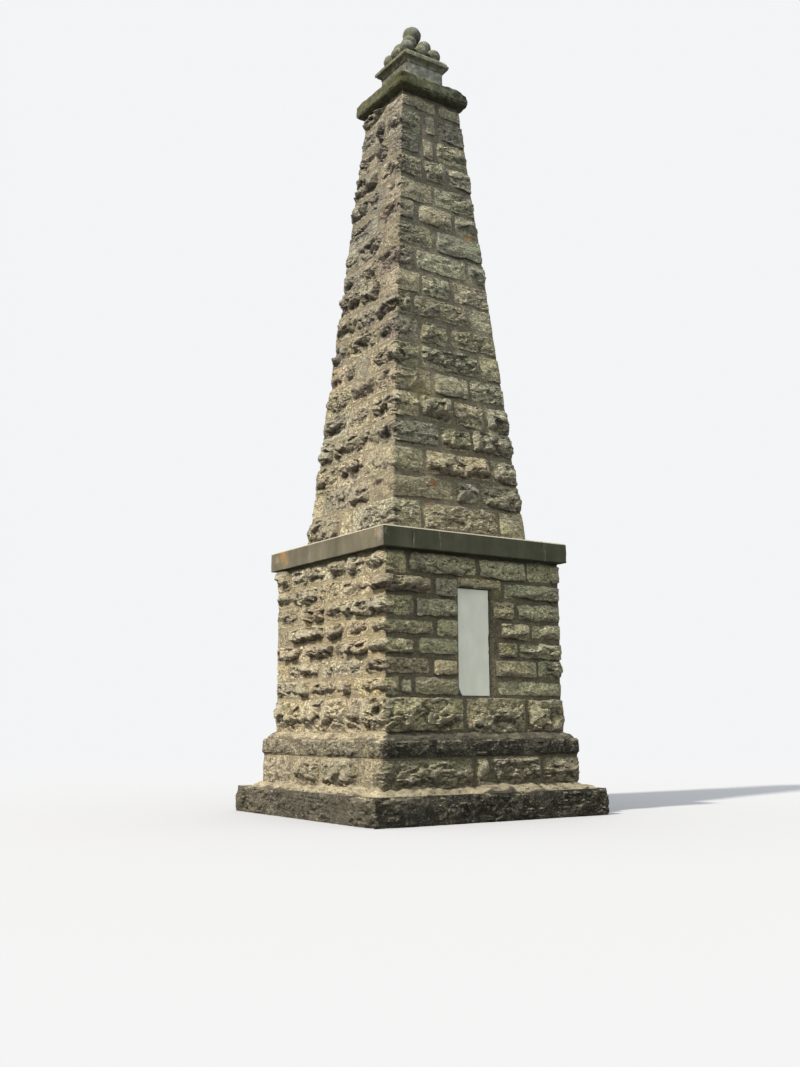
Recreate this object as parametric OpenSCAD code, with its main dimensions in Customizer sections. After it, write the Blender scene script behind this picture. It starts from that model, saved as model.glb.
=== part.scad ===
// Stone obelisk on a stepped base, with a marble tablet and a pile of stone balls on top.
// Millimetres, +Z up. The origin is on the ground under the middle of the shaft.
// The front, with the tablet, faces -Y. Each course is one layer of masonry.

/* [Steps] */
// How far the lower step reaches beyond the upper one
lower_step_ledge = 273; // [150:1:450]
// Height of the lower step
lower_step_h = 335; // [250:1:450]
// How far the upper step reaches beyond the pedestal
upper_step_ledge = 120; // [60:1:260]
// Height of the large blocks that the upper step starts with
step_blocks_h = 429; // [300:1:500]
// Height of the coping on those blocks
step_coping_h = 198; // [190:1:300]
// How far the mortar wash climbs the face of the upper step
lower_wash_rise = 80; // [30:1:120]
// How far the mortar wash climbs the face of the pedestal
upper_wash_rise = 82; // [40:1:120]
// Thickness of a mortar wash at its outer edge
wash_edge = 14; // [8:1:25]
// How far the face of a step rounds back to its head, where its mortar wash starts
step_lean = 26; // [5:1:60]
// Height over which it does so
step_round_h = 80; // [40:1:85]

/* [Pedestal] */
// Width of the pedestal across its rock faces
die_w = 2780; // [2200:1:3300]
// Heights of the pedestal's courses, from the step to the cornice
die_courses = [512, 244, 239, 233, 241, 268, 252, 300]; // [200:1:560]

/* [Tablet] */
// Width of the marble tablet
tablet_w = 480; // [380:1:600]
// Height of the marble tablet
tablet_h = 1346; // [1100:1:1450]
// Thickness of the marble tablet
tablet_t = 90; // [50:1:140]
// How far the tablet's middle lies from the middle of the front
tablet_shift = -29; // [-120:1:120]
// How far the tablet's face lies behind the rock faces
tablet_setback = 60; // [0:1:90]
// Open joint round the tablet's sides and head
tablet_gap = 12; // [4:1:30]
// Width of the chip out of the tablet's lower left corner
chip_w = 62; // [20:1:120]
// Height of that chip
chip_h = 88; // [20:1:160]

/* [Cornice] */
// How far the cornice overhangs the pedestal
cornice_overhang = 60; // [20:1:140]
// How far the shaft stands back from the cornice's edge
cornice_shelf = 362; // [200:1:500]
// Height of the cornice slabs
cornice_h = 260; // [180:1:340]
// How far the cornice slabs run in under the shaft
cornice_lap = 20; // [5:1:200]
// Weathered bevel along the slabs' top edge, into the slab
cornice_bevel_w = 18; // [10:1:60]
// Weathered bevel along the slabs' top edge, down the face
cornice_bevel_h = 17; // [8:1:60]

/* [Shaft] */
// Width of the shaft under the cap
shaft_head_w = 1022; // [900:1:1080]
// Heights of the shaft's courses, from the cornice to the cap
shaft_courses = [440, 350, 370, 360, 380, 355, 365, 345, 360, 340, 350, 365, 335, 370, 365, 355, 370, 260]; // [240:1:460]

/* [Masonry] */
// How far the bed joints lie behind the rock faces of the pedestal and shaft
joint_depth = 42; // [15:1:60]
// Height of a bed joint's mortar
joint_h = 26; // [10:1:40]
// Height over which a rock face rounds back to its joint
arris_h = 48; // [20:1:60]
// How far the joints lie behind the rock faces of the two steps
step_joint_depth = 70; // [30:1:90]
// Height of the mortar between the upper step's two courses
step_joint_h = 74; // [30:1:80]
// Height over which a step's rock face rounds back to its joint
step_arris_h = 60; // [30:1:60]

/* [Cap] */
// How far the cap slab overhangs the head of the shaft
cap_overhang = 88; // [50:1:140]
// Height of the chamfer under the cap slab
cap_chamfer_h = 64; // [30:1:100]
// Height of the cap slab's upright edge
cap_edge_h = 135; // [90:1:180]
// Steep weathered bevel above the cap's edge, into the slab
cap_bevel_w = 32; // [15:1:60]
// Height of that bevel
cap_bevel_h = 38; // [15:1:60]
// Rise of the weathered top from the bevel to the neck
cap_wash_rise = 26; // [10:1:60]

/* [Neck] */
// Width of the neck block
neck_w = 648; // [560:1:700]
// Height of the neck block
neck_h = 320; // [240:1:380]
// How far the moulded slab overhangs the neck block
slab_overhang = 76; // [50:1:120]
// Height of the hollow moulding under the slab
slab_cove_h = 70; // [50:1:100]
// Small step between the moulding and the slab's edge
slab_fillet = 12; // [6:1:20]
// Height of the moulded slab's upright edge
slab_edge_h = 46; // [30:1:70]
// From the slab's edge to the flat top that the balls stand on
slab_wash_w = 55; // [20:1:60]
// Rise of the slab's weathered top
slab_wash_rise = 62; // [20:1:90]

/* [Balls] */
// Radius of a ball in the pile
ball_r = 111; // [90:1:115]
// Gap between two balls of one tier
ball_gap = 2; // [1:1:6]
// How deep a ball is bedded in the mortar under it
ball_bed = 6; // [3:1:12]
// Radius of the ball on top
top_ball_r = 137; // [110:1:150]
// Height of the mortar collar from the middle of the upper tier to the ball on top
collar_h = 36; // [20:1:80]
// Gap between that collar and the balls round it
collar_gap = 6; // [2:1:20]

/* [Hidden] */
die_names = [for (i = [1:len(die_courses)]) str("pedestal_course_", i)];
shaft_names = [for (i = [1:len(shaft_courses)]) str("shaft_course_", i)];

stone = [0.66, 0.62, 0.52];
weathered_stone = [0.50, 0.51, 0.42];
dressed_stone = [0.46, 0.45, 0.41];
mortar = [0.74, 0.71, 0.64];
marble = [0.82, 0.82, 0.80];

cove_steps = 6;

upper_step_w = die_w + 2 * upper_step_ledge;
lower_step_w = upper_step_w + 2 * lower_step_ledge;
cornice_w = die_w + 2 * cornice_overhang;
cornice_slab_w = cornice_shelf + joint_depth + cornice_lap;
shaft_foot_w = cornice_w - 2 * cornice_shelf;
cap_w = shaft_head_w + 2 * cap_overhang;
slab_w = neck_w + 2 * slab_overhang;

// Height of the top of the first n courses of a list
function stacked(heights, n, i = 0) = i >= n ? 0 : heights[i] + stacked(heights, n, i + 1);

upper_step_z = lower_step_h;
coping_z = upper_step_z + step_blocks_h;
die_z = coping_z + step_coping_h;
cornice_z = die_z + stacked(die_courses, len(die_courses));
shaft_z = cornice_z + cornice_h;
shaft_h = stacked(shaft_courses, len(shaft_courses));
cap_z = shaft_z + shaft_h;
neck_z = cap_z + cap_chamfer_h + cap_edge_h + cap_bevel_h + cap_wash_rise;
slab_z = neck_z + neck_h;
pile_z = slab_z + slab_cove_h + slab_edge_h + slab_wash_rise;

// Half width of the shaft's rock face at a height above its foot
function shaft_half(h) = (shaft_foot_w + (shaft_head_w - shaft_foot_w) * h / shaft_h) / 2;

// Four balls of a tier carry the one above, which nests between them
ball_pitch = 2 * ball_r + ball_gap;
nest_r = ball_pitch / sqrt(2);
tier_rise = nest_r + ball_gap;
lower_tier_z = pile_z + ball_r - ball_bed;
upper_tier_z = lower_tier_z + tier_rise;
upper_bed_z = upper_tier_z - ball_r + ball_bed;
// Mortar fills a tier out to this far inside the middles of its outer balls
mortar_inset = ball_r / 4;
// Latitude on the upper tier's balls at which the collar stands between them
collar_latitude = 30;
collar_z = upper_tier_z + ball_r * sin(collar_latitude);
collar_r = nest_r - ball_r * cos(collar_latitude) - collar_gap;
top_ball_z = collar_z + collar_h + top_ball_r;

// Solid whose four sides all follow one outline of [half width, height] points, bottom first
module four_sided(outline) {
    widest = 2 * max([for (p = outline) p[0]]);
    last = len(outline) - 1;
    section = concat(outline, [for (i = [last:-1:0]) [-outline[i][0], outline[i][1]]]);
    // Each extrusion runs well past the other, so that only the section's own sides remain
    length = 2 * widest;
    intersection() {
        rotate([90, 0, 0]) linear_extrude(length, center = true) polygon(section);
        rotate([90, 0, 90]) linear_extrude(length, center = true) polygon(section);
    }
}

// Square block about the axis
module square_block(half, z0, z1) {
    translate([-half, -half, z0]) cube([2 * half, 2 * half, z1 - z0]);
}

// One layer of rock-faced masonry, with its bed joints set back at head and foot
module rock_course(z, h, foot_half, head_half, foot_h = joint_h / 2) {
    translate([0, 0, z]) four_sided([
        [foot_half - joint_depth, 0],
        [foot_half - joint_depth, foot_h],
        [foot_half, foot_h + arris_h],
        [head_half, h - joint_h / 2 - arris_h],
        [head_half - joint_depth, h - joint_h / 2],
        [head_half - joint_depth, h]
    ]);
}

// Sloping mortar on a step, round the foot of what stands on the step
module mortar_wash(z, outer_half, inner_half, rise) {
    difference() {
        translate([0, 0, z]) four_sided([[outer_half, 0], [outer_half, wash_edge], [inner_half, rise]]);
        square_block(inner_half, z, z + rise);
    }
}

module lower_step() {
    half = lower_step_w / 2;
    color(stone) four_sided([
        [half, 0],
        [half, lower_step_h - step_round_h],
        [half - step_lean, lower_step_h]
    ]);
}

module lower_wash() {
    color(mortar) mortar_wash(
        upper_step_z,
        lower_step_w / 2 - step_lean,
        upper_step_w / 2 - step_joint_depth,
        lower_wash_rise
    );
}

module upper_step_blocks() {
    half = upper_step_w / 2;
    joint = half - step_joint_depth;
    color(stone) translate([0, 0, upper_step_z]) four_sided([
        [joint, 0],
        [joint, lower_wash_rise],
        [half, lower_wash_rise + step_arris_h],
        [half, step_blocks_h - step_joint_h / 2 - step_arris_h],
        [joint, step_blocks_h - step_joint_h / 2],
        [joint, step_blocks_h]
    ]);
}

module upper_step_coping() {
    half = upper_step_w / 2;
    joint = half - step_joint_depth;
    color(stone) translate([0, 0, coping_z]) four_sided([
        [joint, 0],
        [joint, step_joint_h / 2],
        [half, step_joint_h / 2 + step_arris_h],
        [half, step_coping_h - step_round_h],
        [half - step_lean, step_coping_h]
    ]);
}

module upper_wash() {
    color(mortar) mortar_wash(die_z, upper_step_w / 2 - step_lean, die_w / 2 - joint_depth, upper_wash_rise);
}

// Recess for the marble tablet, standing on the lowest course of the pedestal
module tablet_recess() {
    face = die_w / 2 - tablet_setback;
    translate([tablet_shift - tablet_w / 2 - tablet_gap, -die_w, die_z + die_courses[0]])
        cube([tablet_w + 2 * tablet_gap, die_w - face + tablet_t, tablet_h + tablet_gap]);
}

module pedestal_course(i) {
    h = die_courses[i];
    z = die_z + stacked(die_courses, i);
    color(stone) difference() {
        rock_course(z, h, die_w / 2, die_w / 2, i == 0 ? upper_wash_rise : joint_h / 2);
        if (i > 0 && z < die_z + die_courses[0] + tablet_h + tablet_gap) tablet_recess();
    }
}

module marble_tablet() {
    face = die_w / 2 - tablet_setback;
    left = tablet_shift - tablet_w / 2;
    right = left + tablet_w;
    color(marble) translate([0, tablet_t - face, die_z + die_courses[0]])
        rotate([90, 0, 0]) linear_extrude(tablet_t) polygon([
            [left + chip_w, 0],
            [right, 0],
            [right, tablet_h],
            [left, tablet_h],
            [left, chip_h],
            [left + chip_w * 0.6, chip_h * 0.55]
        ]);
}

// The whole cornice, with the weathered bevel round its top edge
module cornice_mass() {
    half = cornice_w / 2;
    translate([0, 0, cornice_z]) four_sided([
        [half, 0],
        [half, cornice_h - cornice_bevel_h],
        [half - cornice_bevel_w, cornice_h]
    ]);
}

// Side slabs run the full depth of the cornice
module cornice_side(side) {
    inner = cornice_w / 2 - cornice_slab_w;
    color(dressed_stone) intersection() {
        cornice_mass();
        translate([side > 0 ? inner : -cornice_w / 2, -cornice_w / 2, cornice_z])
            cube([cornice_slab_w, cornice_w, cornice_h]);
    }
}

// Front and back slabs lie between the side slabs
module cornice_end(side) {
    inner = cornice_w / 2 - cornice_slab_w;
    color(dressed_stone) intersection() {
        cornice_mass();
        translate([-inner, side > 0 ? inner : -cornice_w / 2, cornice_z])
            cube([2 * inner, cornice_slab_w, cornice_h]);
    }
}

module cornice_left() {
    cornice_side(-1);
}

module cornice_right() {
    cornice_side(1);
}

module cornice_front() {
    cornice_end(-1);
}

module cornice_back() {
    cornice_end(1);
}

module cornice_hearting() {
    color(mortar) square_block(cornice_w / 2 - cornice_slab_w, cornice_z, cornice_z + cornice_h);
}

module shaft_course(i) {
    foot = stacked(shaft_courses, i);
    head = foot + shaft_courses[i];
    color(stone) rock_course(shaft_z + foot, shaft_courses[i], shaft_half(foot), shaft_half(head));
}

module cap_slab() {
    half = cap_w / 2;
    shoulder = half - cap_bevel_w;
    edge_top = cap_chamfer_h + cap_edge_h;
    color(weathered_stone) translate([0, 0, cap_z]) four_sided([
        [shaft_head_w / 2, 0],
        [half, cap_chamfer_h],
        [half, edge_top],
        [shoulder, edge_top + cap_bevel_h],
        [neck_w / 2, edge_top + cap_bevel_h + cap_wash_rise]
    ]);
}

module neck_block() {
    color(weathered_stone) square_block(neck_w / 2, neck_z, slab_z);
}

// Slab with a hollow moulding under its edge and a weathered top
module moulded_slab() {
    half = slab_w / 2;
    cove_w = half - neck_w / 2 - slab_fillet;
    cove = [for (i = [0:cove_steps]) let (a = 90 * i / cove_steps)
        [neck_w / 2 + cove_w * (1 - cos(a)), slab_cove_h * sin(a)]];
    color(weathered_stone) translate([0, 0, slab_z]) four_sided(concat(
        cove,
        [
            [half, slab_cove_h],
            [half, slab_cove_h + slab_edge_h],
            [half - slab_wash_w, slab_cove_h + slab_edge_h + slab_wash_rise]
        ]
    ));
}

// Square tier of balls, with their undersides bedded flat at the height bed_z
module ball_tier(count, centre_z, bed_z) {
    reach = count * ball_pitch;
    difference() {
        for (i = [0:count - 1], j = [0:count - 1])
            translate([(i - (count - 1) / 2) * ball_pitch, (j - (count - 1) / 2) * ball_pitch, centre_z])
                sphere(ball_r, $fn = 48);
        translate([-reach, -reach, bed_z - 2 * ball_r]) cube([2 * reach, 2 * reach, 2 * ball_r]);
    }
}

module ball_tier_lower() {
    color(weathered_stone) union() {
        ball_tier(3, lower_tier_z, pile_z);
        square_block(ball_pitch - mortar_inset, pile_z, upper_bed_z);
    }
}

module ball_tier_upper() {
    color(weathered_stone) union() {
        ball_tier(2, upper_tier_z, upper_bed_z);
        square_block(ball_pitch / 2 - mortar_inset, lower_tier_z + ball_r + ball_gap, collar_z);
    }
}

module top_ball() {
    color(weathered_stone) union() {
        translate([0, 0, collar_z]) cylinder(h = top_ball_z - collar_z, r = collar_r, $fn = 48);
        translate([0, 0, top_ball_z]) sphere(top_ball_r, $fn = 64);
    }
}

lower_step();
lower_wash();
upper_step_blocks();
upper_step_coping();
upper_wash();
for (i = [0:len(die_courses) - 1])
    pedestal_course(i);
marble_tablet();
cornice_left();
cornice_right();
cornice_front();
cornice_back();
cornice_hearting();
for (i = [0:len(shaft_courses) - 1])
    shaft_course(i);
cap_slab();
neck_block();
moulded_slab();
ball_tier_lower();
ball_tier_upper();
top_ball();
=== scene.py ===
"""Weathered stonework for the obelisk: courses of rock-faced stone, mortar, cap, balls and tablet."""

import math
from types import SimpleNamespace

import bmesh
import bpy
import numpy as np
from mathutils import Matrix, Vector


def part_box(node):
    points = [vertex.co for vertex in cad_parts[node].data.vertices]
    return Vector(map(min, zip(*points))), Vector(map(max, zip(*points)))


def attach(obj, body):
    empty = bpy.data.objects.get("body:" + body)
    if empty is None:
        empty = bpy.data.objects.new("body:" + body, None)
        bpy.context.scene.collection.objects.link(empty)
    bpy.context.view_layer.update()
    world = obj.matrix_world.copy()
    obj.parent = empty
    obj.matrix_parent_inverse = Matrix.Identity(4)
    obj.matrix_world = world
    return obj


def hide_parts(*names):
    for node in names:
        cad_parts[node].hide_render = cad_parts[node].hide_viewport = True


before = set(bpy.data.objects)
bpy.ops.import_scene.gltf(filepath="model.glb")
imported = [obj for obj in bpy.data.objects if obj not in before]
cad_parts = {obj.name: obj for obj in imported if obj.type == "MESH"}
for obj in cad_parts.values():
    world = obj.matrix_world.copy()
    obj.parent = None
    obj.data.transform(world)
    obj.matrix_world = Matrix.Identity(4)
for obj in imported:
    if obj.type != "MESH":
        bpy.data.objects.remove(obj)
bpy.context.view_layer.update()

# The backdrop's colour, and half the width of the shaft where it meets the cap
BACKDROP = (0.90, 0.91, 0.92)
SHAFT_HEAD = 0.511


# Nodes of materials and of the world

class Value:
    """What a node gives out, so that sums over nodes read as plain arithmetic."""

    def __init__(self, nodes, socket):
        self.nodes = nodes
        self.socket = socket

    def __add__(self, other):
        return self.nodes.math("ADD", self, other)

    def __sub__(self, other):
        return self.nodes.math("SUBTRACT", self, other)

    def __mul__(self, other):
        return self.nodes.math("MULTIPLY", self, other)

    def __abs__(self):
        return self.nodes.math("ABSOLUTE", self)


class Nodes:
    """Short calls for the nodes of a material or a world."""

    def __init__(self, owner):
        owner.use_nodes = True
        self.tree = owner.node_tree

    def join(self, source, socket):
        """Links a value, or sets a plain number or colour."""
        if isinstance(source, Value):
            self.tree.links.new(source.socket, socket)
        elif isinstance(source, tuple) and len(source) < len(socket.default_value):
            socket.default_value = (*source, 1)
        else:
            socket.default_value = source

    def node(self, kind, output, inputs=None, **settings):
        """Adds a node, fills its inputs and hands back one of its outputs."""
        made = self.tree.nodes.new("ShaderNode" + kind)
        for key, setting in settings.items():
            setattr(made, key, setting)
        for key, source in (inputs or {}).items():
            self.join(source, made.inputs[key])
        return Value(self, made.outputs[output])

    def math(self, operation, a, b=0.0):
        return self.node("Math", 0, {0: a, 1: b}, operation=operation)

    def between(self, value, low, high, start=0.0, end=1.0):
        """A smooth change from start to end while the value goes from low to high."""
        inputs = dict(enumerate((value, low, high, start, end)))
        return self.node("MapRange", 0, inputs, interpolation_type="SMOOTHSTEP")

    def noise(self, where, scale, detail=3.0, roughness=0.55):
        inputs = {"Vector": where, "Scale": scale, "Detail": detail, "Roughness": roughness}
        return self.node("TexNoise", "Fac", inputs)

    def mix(self, amount, a, b, blend="MIX"):
        return self.node("Mix", 2, {"Factor": amount, 6: a, 7: b}, data_type="RGBA", blend_type=blend)

    def ramp(self, value, *stops):
        """Colours at places along a value. A plain number stands for a grey."""
        made = self.node("ValToRGB", "Color", {"Fac": value})
        line = made.socket.node.color_ramp.elements
        while len(line) < len(stops):
            line.new(0.5)
        for point, (place, colour) in zip(line, stops):
            point.position = place
            point.color = (*colour, 1) if isinstance(colour, tuple) else (colour, colour, colour, 1)
        return made


class Paint(Nodes):
    """One material, painted coat over coat."""

    def __init__(self, name):
        self.material = bpy.data.materials.new(name)
        super().__init__(self.material)
        self.surface = self.tree.nodes["Principled BSDF"]
        self.colour = None

    def position(self):
        return self.node("TexCoord", "Object")

    def along(self, axis):
        return self.node("SeparateXYZ", axis, {0: self.position()})

    def facing(self, axis="Z"):
        """How far the surface, before any bump, looks along an axis: 1 straight, 0 across it."""
        return self.node("SeparateXYZ", axis, {0: self.node("NewGeometry", "Normal")})

    def toward(self, side, low=0.25, high=0.75):
        """1 where the surface looks along that signed axis, such as -X."""
        return self.between(self.facing(side[1]) * (-1.0 if side[0] == "-" else 1.0), low, high)

    def stored(self, name):
        return self.node("Attribute", "Fac", attribute_name=name)

    def stretched(self, y=1, z=1):
        return self.node("VectorMath", 0, {0: self.position(), 1: (1, y, z)}, operation="MULTIPLY")

    def near(self, centre, reach, deep=1.0):
        """1 at a point of the object, falling to 0 at a ragged edge about reach away from it.

        A depth under 1 counts the distance along Y for that much less."""
        centre = (centre[0], centre[1] * deep, centre[2])
        gap = self.node("VectorMath", "Value", {0: self.stretched(deep), 1: centre}, operation="DISTANCE")
        ragged = self.noise(self.position(), 2.6 / reach, 5.0, 0.7) * (reach * 3.2)
        return self.between(gap + ragged, reach * 1.5, reach * 2.7, 1.0, 0.0)

    def cover(self, amount, colour, blend="MIX"):
        self.colour = self.mix(amount, self.colour, colour, blend)

    def stain(self, spots, deep=1.0):
        """Covers places, each given as its centre, reach, colour and strength."""
        for centre, reach, colour, strength in spots:
            self.cover(self.near(centre, reach, deep) * strength, colour)

    def grain(self, height, distance, strength=1.0):
        """Bump from a height in 0..1, as deep as distance in metres."""
        inputs = {"Height": height, "Distance": distance, "Strength": strength}
        self.join(self.node("Bump", "Normal", inputs), self.surface.inputs["Normal"])

    def finish(self, roughness, specular=0.25):
        self.join(self.colour, self.surface.inputs["Base Color"])
        self.surface.inputs["Roughness"].default_value = roughness
        self.surface.inputs["Specular IOR Level"].default_value = specular
        return self.material


# Camera, light and floor

def placed(name, data):
    """An object in the scene for a mesh, a lamp or a camera."""
    made = bpy.data.objects.new(name, data)
    bpy.context.scene.collection.objects.link(made)
    return made


def aim_camera():
    """Stands where the photograph was taken, with its lens and its slight roll."""
    lens = bpy.data.cameras.new("camera")
    lens.sensor_width = 36
    lens.lens = 38.13
    lens.clip_end = 500
    camera = placed("camera", lens)
    forward = Vector((0.5471, 0.8202, 0.1676)).normalized()
    right = forward.cross(Vector((0, 0, 1))).normalized()
    up = right.cross(forward)
    roll = math.radians(-0.22)
    across = right * math.cos(roll) + up * math.sin(roll)
    upward = up * math.cos(roll) - right * math.sin(roll)
    turn = Matrix((across, upward, -forward)).transposed()
    camera.matrix_world = Matrix.Translation((-8.651, -12.603, 1.130)) @ turn.to_4x4()
    bpy.context.scene.camera = camera


def light_scene():
    """A soft key from high on the left, which rakes the front, and an even pale surround."""
    key = bpy.data.lights.new("key", "SUN")
    key.energy = 4.4
    key.angle = math.radians(3)
    key.color = (1, 0.95, 0.87)
    toward = Vector((-0.66, -0.07, 0.74))
    placed("key", key).rotation_euler = toward.to_track_quat("Z", "Y").to_euler()

    world = bpy.data.worlds.new("surround")
    bpy.context.scene.world = world
    sky = Nodes(world)
    sky.tree.nodes.clear()
    upward = sky.node("SeparateXYZ", "Z", {0: sky.node("TexCoord", "Generated")})
    spread = {"Value": upward, "From Min": -0.1, "From Max": 0.65, "To Min": 0.25, "To Max": 1.25}
    overhead = sky.node("MapRange", "Result", spread)
    lit = sky.node("Background", 0, {"Color": (0.93, 0.97, 1), "Strength": overhead})
    seen = sky.node("Background", 0, {"Color": BACKDROP, "Strength": 1})
    direct = sky.node("LightPath", "Is Camera Ray")
    output = sky.tree.nodes.new("ShaderNodeOutputWorld")
    sky.join(sky.node("MixShader", 0, {"Fac": direct, 1: lit, 2: seen}), output.inputs["Surface"])


def lay_floor():
    """A pale floor that runs out into the surround."""
    reach = 150
    corners = [(-reach, -reach, 0), (reach, -reach, 0), (reach, reach, 0), (-reach, reach, 0)]
    mesh = bpy.data.meshes.new("floor")
    mesh.from_pydata(corners, [], [(0, 1, 2, 3)])
    floor = placed("floor", mesh)
    paint = Paint("pale_floor")
    away = paint.node("VectorMath", "Value", {0: paint.position()}, operation="LENGTH")
    far = paint.between(away, 6, 26)
    direct = paint.node("LightPath", "Is Camera Ray")
    paint.colour = paint.mix(direct, (0.14, 0.14, 0.13), (0.44, 0.44, 0.45))
    mesh.materials.append(paint.finish(0.9, 0.0))
    near = Value(paint, paint.surface.outputs[0])
    glow = paint.node("Emission", 0, {"Color": BACKDROP})
    shown = paint.node("MixShader", 0, {"Fac": far * direct, 1: near, 2: glow})
    paint.join(shown, paint.tree.nodes["Material Output"].inputs["Surface"])


# Materials

# Centre, reach, colour and strength of the stains on the cap slab: nearly black on the right half of the
# front, with a blue-green and a rusty spot, and green at the near corner
CAP_STAINS = (
    ((0.40, -0.60, 10.12), 0.45, (0.064, 0.072, 0.050), 0.92),
    ((0.60, -0.60, 10.22), 0.40, (0.048, 0.050, 0.036), 0.92),
    ((0.10, -0.60, 10.03), 0.12, (0.085, 0.09, 0.065), 0.5),
    ((0.30, -0.60, 10.13), 0.035, (0.16, 0.30, 0.24), 0.7),
    ((0.46, -0.60, 10.10), 0.04, (0.28, 0.12, 0.07), 0.7),
    ((-0.60, -0.50, 10.08), 0.12, (0.22, 0.20, 0.07), 0.6),
    ((-0.60, 0.05, 10.13), 0.05, (0.40, 0.30, 0.12), 0.6),
    ((-0.60, -0.60, 10.20), 0.50, (0.055, 0.053, 0.022), 0.96),
    ((-0.60, 0.20, 10.10), 0.80, (0.080, 0.078, 0.045), 0.72),
    ((-0.40, -0.40, 10.64), 0.16, (0.13, 0.125, 0.07), 0.5),
    ((-0.40, 0.05, 10.60), 0.22, (0.10, 0.10, 0.05), 0.55),
    ((0.10, -0.40, 10.66), 0.12, (0.12, 0.115, 0.065), 0.5),
    ((-0.60, -0.50, 10.20), 0.36, (0.062, 0.060, 0.025), 0.8),
)
# The same for the cornice: rust near both ends of the left side, a pale worn patch at the near corner and
# a green one beside it
CORNICE_STAINS = (
    ((-1.45, 1.09, 3.43), 0.13, (0.36, 0.19, 0.06), 0.8),
    ((-1.45, 0.98, 3.34), 0.08, (0.34, 0.22, 0.08), 0.6),
    ((-1.45, 1.27, 3.40), 0.09, (0.30, 0.24, 0.15), 0.8),
    ((-1.45, -1.37, 3.42), 0.10, (0.33, 0.28, 0.24), 0.8),
    ((-1.45, -1.27, 3.40), 0.035, (0.42, 0.22, 0.06), 0.9),
    ((-1.45, -1.27, 3.46), 0.030, (0.42, 0.24, 0.07), 0.8),
    ((-1.45, -0.95, 3.46), 0.06, (0.26, 0.20, 0.09), 0.6),
    ((-1.30, -1.45, 3.43), 0.09, (0.045, 0.055, 0.03), 0.7),
)
# Place, axis and side of the pale drips down the face of the cornice
CORNICE_DRIPS = ((-1.008, "X", "-Y"), (1.074, "X", "-Y"), (-0.62, "X", "-Y"), (0.35, "Y", "-X"))
# Lichen on the masonry: orange and yellow-green spots on the front, and a patch on the lower step
LICHEN_SPOTS = (
    ((-0.416, -1.03, 4.20), 0.060, (0.70, 0.24, 0.09), 0.9),
    ((-0.499, -1.06, 3.93), 0.050, (0.50, 0.25, 0.08), 0.8),
    ((0.500, -0.70, 7.90), 0.070, (0.80, 0.36, 0.08), 0.9),
    ((-0.56, -0.91, 5.56), 0.30, (0.52, 0.47, 0.25), 0.5),
    ((-0.50, -0.92, 5.44), 0.13, (0.34, 0.32, 0.10), 0.6),
    ((-1.62, -1.78, 0.20), 0.70, (0.17, 0.15, 0.105), 0.7),
    ((0.099, -0.923, 5.36), 0.045, (0.55, 0.50, 0.16), 0.8),
    ((0.46, -1.39, 2.08), 0.06, (0.40, 0.37, 0.08), 0.85),
    ((0.331, -1.39, 2.79), 0.09, (0.36, 0.33, 0.12), 0.8),
)


def stone_colour(paint, tone, patches, damp):
    """A tone and a cast of its own for each stone: a warmer sunny copy where the side is dry, and a darker
    shady copy where it is damp, partly painted shade.
    """
    toned = tone + (patches - 0.5) * 1.1
    sunny = paint.ramp(
        toned,
        (0.0, (0.50, 0.42, 0.305)),
        (0.25, (0.64, 0.55, 0.38)),
        (0.55, (0.74, 0.65, 0.445)),
        (0.85, (0.80, 0.71, 0.50)),
        (1.0, (0.75, 0.62, 0.37)),
    )
    shady = paint.ramp(
        toned,
        (0.0, (0.44, 0.41, 0.27)),
        (0.3, (0.53, 0.505, 0.315)),
        (0.6, (0.62, 0.59, 0.365)),
        (1.0, (0.70, 0.64, 0.385)),
    )
    cast = paint.ramp(
        paint.math("FRACT", tone * 7.3),
        (0.0, (1.04, 1.0, 0.90)),
        (0.35, (0.95, 0.99, 0.99)),
        (0.65, (1.08, 0.98, 0.94)),
        (1.0, (1.03, 1.02, 0.88)),
    )
    # The shady copy on damp sides is partly damp staining and partly painted shade
    return paint.mix(1.0, paint.mix(damp, sunny, shady), cast, "MULTIPLY")


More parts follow.
